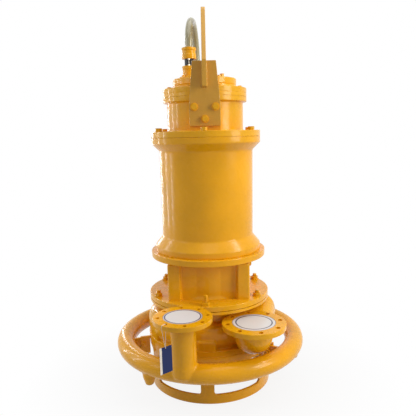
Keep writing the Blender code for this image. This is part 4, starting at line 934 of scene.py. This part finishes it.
# Jet ring: one bent pipe, its inlet pipe, bracket plates and nozzles, welded and painted
jetRing = {
    "radius": 0.4206,
    "tube": 0.0445,
    "z": 0.2142,
    "inlet": -105.4,
    "inletZ": 0.4725,
    "pipe": 0.0545,
    "pipeWall": 0.006,
    "flange": 0.125,
    "flangeThick": 0.021,
    "disc": 0.0833,
    "discGap": 0.0004,
    "boltCircle": 0.105,
    "hole": 0.009,
    "turn": 6.6,
    "jets": (-131.0, -11.0, 109.0),
    "jetTop": 0.030,
    "jetTip": 0.0176,
    "jetTipZ": 0.118,
}
inletSpot = polar(jetRing["radius"], jetRing["inlet"])


# A lapped plate at each bracket, with its two welds to the pipe
def makeBracketPlates():
    inner, outer, topOuter = bracket["plateInner"], bracket["plateOuter"], bracket["plateTopOuter"]
    near, far, top = bracket["plateNear"], bracket["plateFar"], bracket["plateTop"]
    outline = [(inner, bracket["low"]), (outer, bracket["plateHeel"]), (topOuter, top), (inner, top)]
    pipeSide = jetRing["radius"] - 0.0425
    plates = []
    for angle in bracket["angles"]:
        plates.append(standing(outline, near, far, angle))
        for side in (-0.0185, -0.0062):
            weld = bead(along((pipeSide, side, 0.190), (pipeSide, side, 0.231)), bracket["weld"])
            plates.append(shift(weld, turn=angle))
    return plates


def makeJet(angle):
    radius, top, tip, end = (jetRing[key] for key in ("radius", "jetTop", "jetTip", "jetTipZ"))
    low = jetRing["z"] - jetRing["tube"]
    corners = [(0, low + 0.02), (top, low + 0.02), (top, low - 0.010, 0.004), (tip, end, 0.003), (0, end)]
    return shift(spun(corners, 48), polar(radius, angle))


# The inlet pipe's open end with its flange and the weld between them
def makeInletEnd(neck):
    pipe, top, disc = jetRing["pipe"], jetRing["inletZ"], jetRing["disc"]
    bore = pipe - jetRing["pipeWall"]
    holes = (8, jetRing["boltCircle"], jetRing["turn"], jetRing["hole"])
    upper = sleeve(pipe, bore, neck - 0.04, neck + 0.001, 72)
    weld = bead([polar(pipe + 0.0015, a, neck - 0.001) for a in range(0, 360, 2)], 0.0042, True)
    flange = flangeDisc(jetRing["flange"], neck, top, disc + jetRing["discGap"], *holes)
    inside = sleeve(disc + 0.002, bore, neck + 0.001, top - 0.0035, 64)
    return shift(joined([upper, weld, flange, inside]), inletSpot)


def makeRing():
    radius, z, pipe = jetRing["radius"], jetRing["z"], jetRing["pipe"]
    tube = bmesh.new()
    bmesh.ops.create_circle(tube, segments=40, radius=jetRing["tube"])
    shift(tube, (radius, 0, z), tilt=layX)
    swept(tube, 160)
    neck = jetRing["inletZ"] - jetRing["flangeThick"]
    upright = rod(pipe, z - 0.01, neck - 0.03, 72)
    corners = [(0, z + 0.052), (pipe, z + 0.052), (pipe + 0.004, z + 0.034), (pipe + 0.003, z), (0, z)]
    flare = spun(corners, 72)
    shapes = [tube, shift(upright, inletSpot), shift(flare, inletSpot)]
    body = castTogether(shapes + [makeJet(angle) for angle in jetRing["jets"]], 0.0038, 6)
    whole = joined([body, makeInletEnd(neck)] + makeBracketPlates())
    finish("jetRing", whole, ["ring_manifold"], plateEnamel, smooth=50)


makeRing()

# White covers in the mouths of both flanges: piece, node, spot, height, radius and the film's printed ring
outletSpot = Vector(volute["outlet"])
covers = (
    ("inletCover", "inlet_cover_disc", inletSpot, jetRing["inletZ"], jetRing["disc"], 0.0755),
    ("outletCover", "discharge_cover_disc", outletSpot, volute["outlet"][2], volute["disc"], 0.0800),
)


def makeCovers():
    for name, node, spot, z, radius, ring in covers:
        centre = Vector((spot.x, spot.y, 0))
        disc = rod(radius, z - 0.003, z - 0.0003, 96, (0.0008,))
        printed = makeFilm(f"{name}Film", centre + axisSpot, ring, radius)
        finish(name, shift(disc, centre), [node], printed)


makeCovers()

# Shipping tag: a plain card on a string through a hole of the inlet flange
tag = {
    "spot": (-0.179, -0.4940, 0.3790),
    "turn": 40.0,
    "width": 0.060,
    "height": 0.116,
    "halfThick": 0.0006,
    "margin": 0.010,
    "marginSoft": 0.0003,
    "eyelet": 0.0025,
    "eyeletDrop": 0.006,
    "flangeHole": 231.6,
    "string": 0.0009,
}


# White margin at the left, then the printed colour, across the card's own width
def makeCard():
    card, shader = newMaterial("printedCard", Roughness=0.5, Specular_IOR_Level=0.3)
    spot = addNode(card, "TexCoord")
    flat = addNode(card, "Mapping", {"Vector": (spot, "Object")}, vector_type="TEXTURE")
    flat.inputs["Location"].default_value = Vector(tag["spot"]) + axisSpot
    flat.inputs["Rotation"].default_value = (0, 0, math.radians(tag["turn"]))
    apart = addNode(card, "SeparateXYZ", {"Vector": (flat, "Vector")})
    margin, soft = tag["margin"] - tag["width"] / 2, tag["marginSoft"]
    links = {"Value": (apart, "X")}
    printed = addNode(card, "MapRange", links, From_Min=margin - soft, From_Max=margin + soft)
    tint(card, shader, (printed, "Result"), [(0.0, linear("#ECEAE6")), (1.0, linear("#12285F"))])
    return card


def makeTag():
    half, thick, drop = tag["width"] / 2, tag["halfThick"], tag["eyeletDrop"]
    sheet = block((-half, -thick, -tag["height"]), (half, thick, 0.0), 0.0003)
    sheet = carved(sheet, shift(rod(tag["eyelet"], -0.01, 0.01, 20), (0, 0, -drop), tilt=layX))
    finish("hangTag", shift(sheet, tag["spot"], tag["turn"]), (), makeCard())
    hole = inletSpot + polar(jetRing["boltCircle"], tag["flangeHole"])
    rim = inletSpot + polar(jetRing["flange"] + 0.001, tag["flangeHole"])
    top = jetRing["inletZ"] + 0.0012
    eyelet = Vector(tag["spot"]) + Vector((0, 0, -drop))
    knots = [
        eyelet,
        Vector((hole.x, hole.y, jetRing["inletZ"] - 0.026)),
        Vector((hole.x, hole.y, top - 0.002)),
        hole.lerp(rim, 0.4) + Vector((0, 0, top)),
        rim + Vector((0, 0, top - 0.0015)),
        rim + Vector((0, 0, top - 0.022)),
        eyelet + Vector((-0.001, -0.0018, 0.0)),
    ]
    string = bead(smoothPath(knots, 0.002), tag["string"])
    finish("tagString", string, (), cottonString)


makeTag()
report("ring and covers made")

# Bearing frame: cover flange, oil chamber and four corner columns in one casting
bearingFrame = {
    "flange": 0.291,
    "flangeBore": 0.10,
    "chamber": 0.187,
    "chamberWall": 0.037,
    "reachX": 0.187,
    "reachY": 0.198,
    "column": 0.058,
    "columnDeeper": 0.03,
    "pad": 0.003,
    "bayHalf": 0.135,
    "bayFace": 0.178,
    "bayBack": 0.12,
}


# A column on its pad, and the wall beside it
def makeCorner(sideX, sideY, low, padTop, high):
    reachX, reachY, pad, half = (bearingFrame[key] for key in ("reachX", "reachY", "pad", "bayHalf"))
    backX = reachX - bearingFrame["column"]
    backY = reachY - bearingFrame["column"] - bearingFrame["columnDeeper"]
    x0, x1 = sorted((sideX * reachX, sideX * backX))
    y0, y1 = sorted((sideY * reachY, sideY * backY))
    column = block((x0, y0, low), (x1, y1, high), 0.006)
    y0, y1 = sorted((sideY * bearingFrame["bayFace"], sideY * bearingFrame["bayBack"]))
    bay = block((-half, y0, low), (half, y1, high), 0.004)
    return [column, bay, block((x0 - pad, y0 - pad, low), (x1 + pad, y1 + pad, padTop), 0.002)]


def makeBearingFrame():
    low, top, high = heights["frame"], heights["frameFlangeTop"], heights["frameTop"]
    chamber, bore = bearingFrame["chamber"], bearingFrame["chamber"] - bearingFrame["chamberWall"]
    under, over, pad = top - 0.012, high - 0.003, bearingFrame["pad"]
    disc = sleeve(bearingFrame["flange"], bearingFrame["flangeBore"], low, top, 120, (0.003,), (0.002,))
    corners = [
        (chamber - 0.001, over),
        (chamber - 0.001, top + 0.010, 0.006),
        (chamber + 0.010, top - 0.004),
        (chamber + 0.010, under),
        (bore, under),
        (bore, over),
    ]
    shapes = [spun(corners, 96)]
    for sideX, sideY in ((1, 1), (-1, 1), (-1, -1), (1, -1)):
        shapes += makeCorner(sideX, sideY, under, top + pad, over)
    body = castTogether(shapes, 0.0034, 4)
    cap = sleeve(chamber, 0.16, high - 0.006, high, 96, (0.001,))
    finish("bearingFrame", joined([disc, body, cap]), ["bearing_frame"], smooth=50)


makeBearingFrame()

# Motor: lower end shield, and the housing with its flare and band
motor = {
    "shield": 0.274,
    "shieldBore": 0.10,
    "wall": 0.217,
    "band": 0.2517,
    "bore": 0.204,
    "lowBand": 0.027,
    "flare": 0.070,
    "highBand": 0.026,
    "cone": 0.0605,
}


def makeMotor():
    low, high = heights["shield"], heights["shieldTop"]
    shield = sleeve(motor["shield"], motor["shieldBore"], low, high, 120, (0.003,), (0.003,))
    finish("endShield", shield, ["lower_end_shield"], plateEnamel)
    low, high, wall, band = heights["motor"], heights["motorTop"], motor["wall"], motor["band"]
    corners = [
        (band, high, 0.002),
        (band, high - motor["highBand"], 0.003),
        (wall, high - motor["cone"], 0.006),
        (wall, low + motor["flare"], 0.005),
        (band, low + motor["lowBand"], 0.003),
        (band, low, 0.002),
        (motor["bore"], low),
        (motor["bore"], high),
    ]
    finish("motorHousing", spun(corners, 144), ["motor_housing"], plateEnamel)


makeMotor()

# Upper housing with its two lifting pads, the top cover and the cable cover with a groove each
upper = {
    "wall": 0.1736,
    "rim": 0.1899,
    "rimDrop": 0.0208,
    "band": 0.2517,
    "bore": 0.15,
    "padFace": 0.1915,
    "padHalf": 0.067,
    "cableCover": 0.1438,
}


def makeUpperHousing():
    low, flange, top = heights["upper"], heights["upperFlangeTop"], heights["upperTop"]
    wall, lip, band, bore, half = (upper[key] for key in ("wall", "rim", "band", "bore", "padHalf"))
    rim = top - upper["rimDrop"]
    corners = [
        (lip, top, 0.001),
        (lip, rim, 0.003),
        (wall, rim - 0.004, 0.003),
        (wall, flange, 0.005),
        (band, flange, 0.003),
        (band, low, 0.002),
        (bore, low),
        (bore, top),
    ]
    shapes = [spun(corners, 128)]
    for side in (-1, 1):
        y0, y1 = sorted((side * upper["padFace"], side * bore))
        shapes.append(block((-half, y0, flange - 0.002), (half, y1, rim - 0.006), 0.003))
    finish("upperHousing", joined(shapes), ["upper_housing"])


def makeCoverLids():
    r, low, top = upper["rim"], heights["cover"], heights["coverTop"]
    groove = [(r, low + 0.017), (r - 0.0012, low + 0.0155), (r, low + 0.014)]
    lid = spun([(0, top), (r, top, 0.003), *groove, (r, low, 0.001), (0, low)], 128)
    finish("topCover", lid, ["top_cover"])
    r, low, top = upper["cableCover"], heights["cableCover"], heights["cableCoverTop"]
    groove = [(r, low + 0.016, 0.001), (r - 0.0018, low + 0.0125), (r, low + 0.009, 0.001)]
    lid = spun([(0, top), (r, top, 0.005), *groove, (r, low, 0.001), (0, low)], 112)
    finish("cableCover", lid, ["cable_cover"])


makeUpperHousing()
makeCoverLids()
report("motor made")

# Cable gland: body screwed to the cover, follower on two studs, grommet between them; the vent plug beside it
gland = {
    "base": 0.046,
    "barrel": 0.030,
    "follower": 0.0325,
    "grommet": 0.0205,
    "cableHole": 0.0172,
    "rise": 0.058,
    "gap": 0.030,
    "stud": 0.0026,
    "nut": 0.0056,
    "plug": 0.0158,
    "plugX": 0.080,
}


def makeGland():
    base, barrel, rim, bore = gland["base"], gland["barrel"], gland["follower"], gland["grommet"] + seat
    low, top = heights["cableCoverTop"] + seat, cable["glandTop"]
    high = low + gland["rise"]
    follower = high + gland["gap"]
    spot = Vector((cable["glandX"], 0, 0))
    corners = [
        (base, low + 0.012, 0.002),
        (base, low, 0.001),
        (bore, low),
        (bore, high, 0.001),
        (rim, high, 0.002),
        (rim, high - 0.012, 0.002),
        (barrel, high - 0.018, 0.002),
        (barrel, low + 0.012, 0.003),
    ]
    screws = around(4, base - 0.0075, 45, lambda: shift(hexHead(0.0062, 0.0055, 0.0075), (0, 0, low + 0.012)))
    body = joined([spun(corners, 64), screws])
    finish("glandBody", shift(body, spot), ["gland_body"])
    studs = []
    for side in (-1, 1):
        y = side * (gland["grommet"] + rim) / 2
        studs.append(shift(threadedEnd(gland["stud"], high - 0.004, follower + 0.018, 0.0012), (0, y, 0)))
        for z in (follower - 0.0055, high):
            studs.append(shift(hexHead(gland["nut"], 0.005), (0, y, z)))
    finish("glandStuds", shift(joined(studs), spot), (), zincPlate)
    corners = [
        (rim, top, 0.002),
        (rim, top - 0.010, 0.002),
        (barrel, top - 0.013, 0.002),
        (barrel, follower + 0.022, 0.002),
        (rim, follower + 0.018, 0.002),
        (rim, follower, 0.002),
        (bore, follower),
        (bore, top, 0.001),
    ]
    finish("glandFollower", shift(spun(corners, 64), spot), ["gland_follower"])
    grommet = sleeve(gland["grommet"], gland["cableHole"], low, top, 48, (0.001,))
    finish("glandGrommet", shift(grommet, spot), ["gland_grommet"], rubberBlack)
    low = heights["cableCoverTop"]
    disc = rod(gland["plug"], low + seat, low + 0.0085, 40, (0.002,), (0.001,))
    plug = joined([disc, shift(hexHead(0.0110, 0.024), (0, 0, low))])
    finish("ventPlug", shift(plug, (gland["plugX"], 0, 0)), ["top_plug"])


makeGland()

# Lifting frame: two bolted side plates and the arch plate welded across them
lifting = {
    "half": 0.0658,
    "topHalf": 0.0495,
    "thick": 0.013,
    "bottom": 1.2453,
    "shoulder": 1.339,
    "top": 1.5067,
    "arch": 0.018,
    "legBottom": 1.4035,
    "standoff": 0.034,
    "footWidth": 0.021,
    "archTop": 1.741,
    "archHalf": 0.085,
    "bar": 0.075,
    "eye": 0.022,
    "round": 0.0016,
    "legWeld": 0.0042,
    "footWeld": 0.004,
}


# Half of the arch's outer edge, from the foot of a leg up to the bar
def archSide(leg):
    top, high, reach = lifting["top"], lifting["archTop"], lifting["archHalf"]
    shoulder = high - 0.02
    slope = (leg - reach) / (high - top)
    return [
        (leg, lifting["legBottom"]),
        (leg, top),
        (leg - slope * (shoulder - top), shoulder),
        (reach - 0.012, high),
    ]


def makeArch(outside):
    low, seatZ, bar = lifting["legBottom"], lifting["top"] + seat, lifting["archTop"] - lifting["bar"]
    overlap = outside - 0.001
    foot = overlap - lifting["footWidth"]
    outer = archSide(outside + lifting["standoff"])
    outline = outer + [(-y, z) for y, z in reversed(outer)]
    half = lifting["archHalf"] - 0.042
    inner = [(overlap, low), (overlap, seatZ), (foot, seatZ), (half, bar)]
    outline += [(-y, z) for y, z in inner] + inner[::-1]
    upright = Matrix(((0, 0, 1, 0), (1, 0, 0, 0), (0, 1, 0, 0), (0, 0, 0, 1)))
    plate = shift(raised(outline, -lifting["arch"] / 2, lifting["arch"] / 2), tilt=upright)
    eyeZ = lifting["archTop"] - lifting["bar"] / 2
    eye = shift(rod(lifting["eye"], -0.05, 0.05, 48), (0, 0, eyeZ), tilt=layY)
    return softened(carved(plate, eye), lifting["round"], 2, 30)


def makeLiftingFrame():
    bottom, shoulder, top, low = (lifting[key] for key in ("bottom", "shoulder", "top", "legBottom"))
    half, topHalf, reach = lifting["half"], lifting["topHalf"], lifting["arch"] / 2
    inside = upper["padFace"] + seat
    outside = inside + lifting["thick"]
    right = [(half, bottom), (half, shoulder), (topHalf, top)]
    outline = [(-half, bottom)] + right + [(-topHalf, top), (-half, shoulder)]
    sides = ((inside, outside), (-outside, -inside))
    shapes = [shift(raised(outline, y0, y1, 0.0018), tilt=layX) for y0, y1 in sides]
    shapes.append(makeArch(outside))
    for side in (-1, 1):
        y = side * (outside + 0.0006)
        for x in (-reach, reach):
            shapes.append(bead(along((x, y, low + 0.002), (x, y, top - 0.002)), lifting["legWeld"]))
        y = side * outside
        shapes.append(bead(along((-reach, y, low), (reach, y, low)), lifting["footWeld"]))
    finish("liftingFrame", joined(shapes), ["lifting_frame"], frameEnamelWithPaintedHazeAndShade, smooth=45)


makeLiftingFrame()
report("lifting frame made")

# Fasteners, each a piece of its own where the CAD has one; heads are (across, rise) or (across, rise, washer)
bolts = {
    "flange": (0.0150, 0.0150),
    "studNut": (0.0188, 0.0170, 0.0225),
    "stud": 0.0100,
    "lift": (0.0140, 0.0125, 0.0172),
    "liftSpots": ((-0.045, 1.3235), (0.045, 1.3235), (0.0, 1.2745)),
    "topCover": (0.0098, 0.0066),
    "cableCover": (0.0088, 0.0062),
    "bracketHead": (0.0139, 0.0105, 0.0168),
    "bracketNut": (0.0139, 0.0115, 0.0168),
    "bracket": 0.0078,
    "casingCircle": 0.268,
    "flangeCircle": 0.2355,
    "oilDrop": 0.060,
}


# Studs round the casing and bolts round the motor's upper flange, each left at its own turn by the wrench
def makeRoundBolts():
    for i in range(6):
        tip = threadedEnd(bolts["stud"], 0.010, 0.048 if i == 0 else 0.030)
        stud, angle = joined([hexHead(*bolts["studNut"]), tip]), firstStud + 60 * i
        shift(stud, polar(bolts["casingCircle"], angle, heights["frameFlangeTop"]), angle + 8 * i)
        finish(f"casingStud{i + 1}", stud, [f"casing_stud_{i + 1}"])
        head, angle = hexHead(*bolts["flange"]), -91.5 + 60 * i
        shift(head, polar(bolts["flangeCircle"], angle, heights["upperFlangeTop"]), angle + 11 * i)
        finish(f"flangeBolt{i + 1}", head, [f"motor_flange_bolt_{i + 1}"])


def makeLiftBolts():
    face = upper["padFace"] + seat + lifting["thick"]
    number = 0
    for side in (-1, 1):
        outward = Matrix.Rotation(math.radians(-90 * side), 4, "X")
        for x, z in bolts["liftSpots"]:
            number += 1
            head = shift(hexHead(*bolts["lift"]), turn=13 * number)
            shift(head, (x, side * face, z), tilt=outward)
            finish(f"liftBolt{number}", head, [f"lifting_bolt_{number}"])


# A ring of bolts on each round cover: cover, its height, how many, their circle and the first one's angle
coverBolts = (("topCover", "coverTop", 8, 0.1690, -68), ("cableCover", "cableCoverTop", 6, 0.1265, -60))


def makeCoverBolts():
    for name, level, count, circle, turn in coverBolts:
        top = heights[level]
        heads = around(count, circle, turn, lambda: shift(hexHead(*bolts[name]), (0, 0, top)))
        finish(f"{name}Bolts", heads)


def makeBracketBolts():
    for i, angle in enumerate(bracket["angles"]):
        outer = joined([hexHead(*bolts["bracketHead"]), threadedEnd(bolts["bracket"], 0.006, 0.016)])
        shift(outer, (0, bracket["lugHalf"], 0), tilt=Matrix.Rotation(math.radians(-90), 4, "X"))
        inner = joined([hexHead(*bolts["bracketNut"]), threadedEnd(bolts["bracket"], 0.006, 0.019)])
        shift(inner, (0, -bracket["plateFar"], 0), tilt=layX)
        pair = shift(shift(joined([outer, inner]), bracket["boltSpot"]), turn=angle)
        finish(f"bracketBolt{i + 1}", pair, [f"bracket_bolt_{i + 1}"])


def makeOilPlug():
    disc = rod(0.021, 0.0005, 0.009, 40, (0.002,), (0.001,))
    corners = [(0, 0.026), (0.013, 0.026, 0.001), (0.0165, 0.022, 0.001), (0.0165, 0.006), (0, 0.006)]
    plug = joined([disc, spun(corners, 8)])
    shift(plug, (bearingFrame["chamber"], 0, heights["frameTop"] - bolts["oilDrop"]), tilt=layY)
    finish("oilPlug", shift(plug, turn=6), ["oil_port_plug"])


makeRoundBolts()
makeLiftBolts()
makeCoverBolts()
makeBracketBolts()
makeOilPlug()
report("fasteners made")

# CAD pieces that stay, each with its own finish
kept = {
    "high_chrome_iron": whiteIron,
    "machined_steel": turnedSteel,
    "plated_steel": zincPlate,
    "electrical_steel": coreSteel,
    "enamelled_copper": windingCopper,
    "seal_ceramic": sealCeramic,
    "gasket_fibre": gasketFibre,
}
slotOf = {entry["node"]: entry["material_slot"] for entry in frame["record"]["subparts"]}
for nodeName, node in frame["nodes"].items():
    if slotOf[nodeName] in kept and not node.hide_render:
        node.data.materials.clear()
        node.data.materials.append(kept[slotOf[nodeName]])


# Studio: pale floor that keeps the shadow, white surround, warm key at the right, window strips at the left
studio = {"floorNear": "#C4C4C4", "floorFade": (0.30, 0.95), "floorGlow": 0.87, "world": 0.22}
cool, white = "#F2F6FF", "#FFFFFF"
# Lamps: spot, target, width, height, watts and tint
lamps = {
    "keyRight": ((3.0, -1.55, 2.0), (0, 0, 0.7), 1.3, 1.9, 80, "#FFF8E4"),
    "fillLeft": ((-2.6, -1.3, 2.3), (0, 0, 1.1), 1.1, 1.6, 15, "#FFFAF0"),
    "topSoft": ((0.2, -0.3, 3.4), (0, 0, 0.9), 2.4, 2.4, 26, white),
    "sideStrip": ((2.1, -0.2, 3.1), (0, 0, 0.7), 0.50, 1.2, 22, white),
    "windowStrip1": ((-2.5, 0.1, 1.3), (0, 0, 0.8), 0.11, 2.0, 13, cool),
    "windowStrip2": ((-2.3, 0.93, 1.3), (0, 0, 0.8), 0.11, 2.0, 13, cool),
    "windowStrip3": ((-1.4, 2.1, 1.3), (0, 0, 0.8), 0.11, 2.0, 13, cool),
}


# The floor glows evenly away from the pump and keeps its shadow near it
def makeFloor():
    bm = bmesh.new()
    bmesh.ops.create_grid(bm, x_segments=2, y_segments=2, size=30)
    floor = asObject("studioFloor", bm)
    material, shader = newMaterial("paleStudioFloor", Roughness=0.8)
    shader.inputs["Base Color"].default_value = linear(studio["floorNear"])
    spot = addNode(material, "TexCoord")
    centred = addNode(material, "Mapping", {"Vector": (spot, "Object")}, Location=tuple(-axisSpot))
    reach = addNode(material, "VectorMath", {"Vector": (centred, "Vector")}, operation="LENGTH")
    glow = addNode(material, "Emission", Color=(1, 1, 1, 1), Strength=1.0)
    near, far = studio["floorFade"]
    span = {"From_Min": near, "From_Max": far, "To_Min": studio["floorGlow"], "To_Max": 1.0}
    share = addNode(material, "MapRange", {"Value": (reach, "Value")}, **span)
    links = {0: (share, "Result"), 1: (seenStraight(material), "Value")}
    factor = addNode(material, "Math", links, operation="MULTIPLY")
    mix = addNode(material, "MixShader", {"Fac": (factor, "Value")})
    wire(material, shader, "BSDF", mix, 1)
    wire(material, glow, "Emission", mix, 2)
    wire(material, mix, "Shader", material.node_tree.nodes["Material Output"], "Surface")
    floor.data.materials.append(material)


def makeLight(name, spot, target, width, height, power, code):
    data = bpy.data.lights.new(name, "AREA")
    data.shape, data.size, data.size_y = "RECTANGLE", width, height
    data.energy, data.color = power, linear(code)[:3]
    lamp = bpy.data.objects.new(name, data)
    turn = (Vector(spot) - Vector(target)).to_track_quat("Z", "Y").to_matrix().to_4x4()
    lamp.matrix_world = Matrix.Translation(Vector(spot)) @ turn
    scene.collection.objects.link(lamp)


# A dim white surround that looks white to the camera and in reflections
def makeWorld():
    world = bpy.data.worlds.new("studioWorld")
    scene.world = world
    world.use_nodes = True
    shade = world.node_tree.nodes["Background"]
    shade.inputs["Color"].default_value = (1, 1, 1, 1)
    links = {"Value": (seenStraight(world), "Value")}
    level = addNode(world, "MapRange", links, To_Min=studio["world"], To_Max=1.0)
    wire(world, level, "Result", shade, "Strength")


makeFloor()
for lampName, settings in lamps.items():
    makeLight(lampName, *settings)
makeWorld()
scene.view_settings.view_transform = "Standard"
report("studio lit")
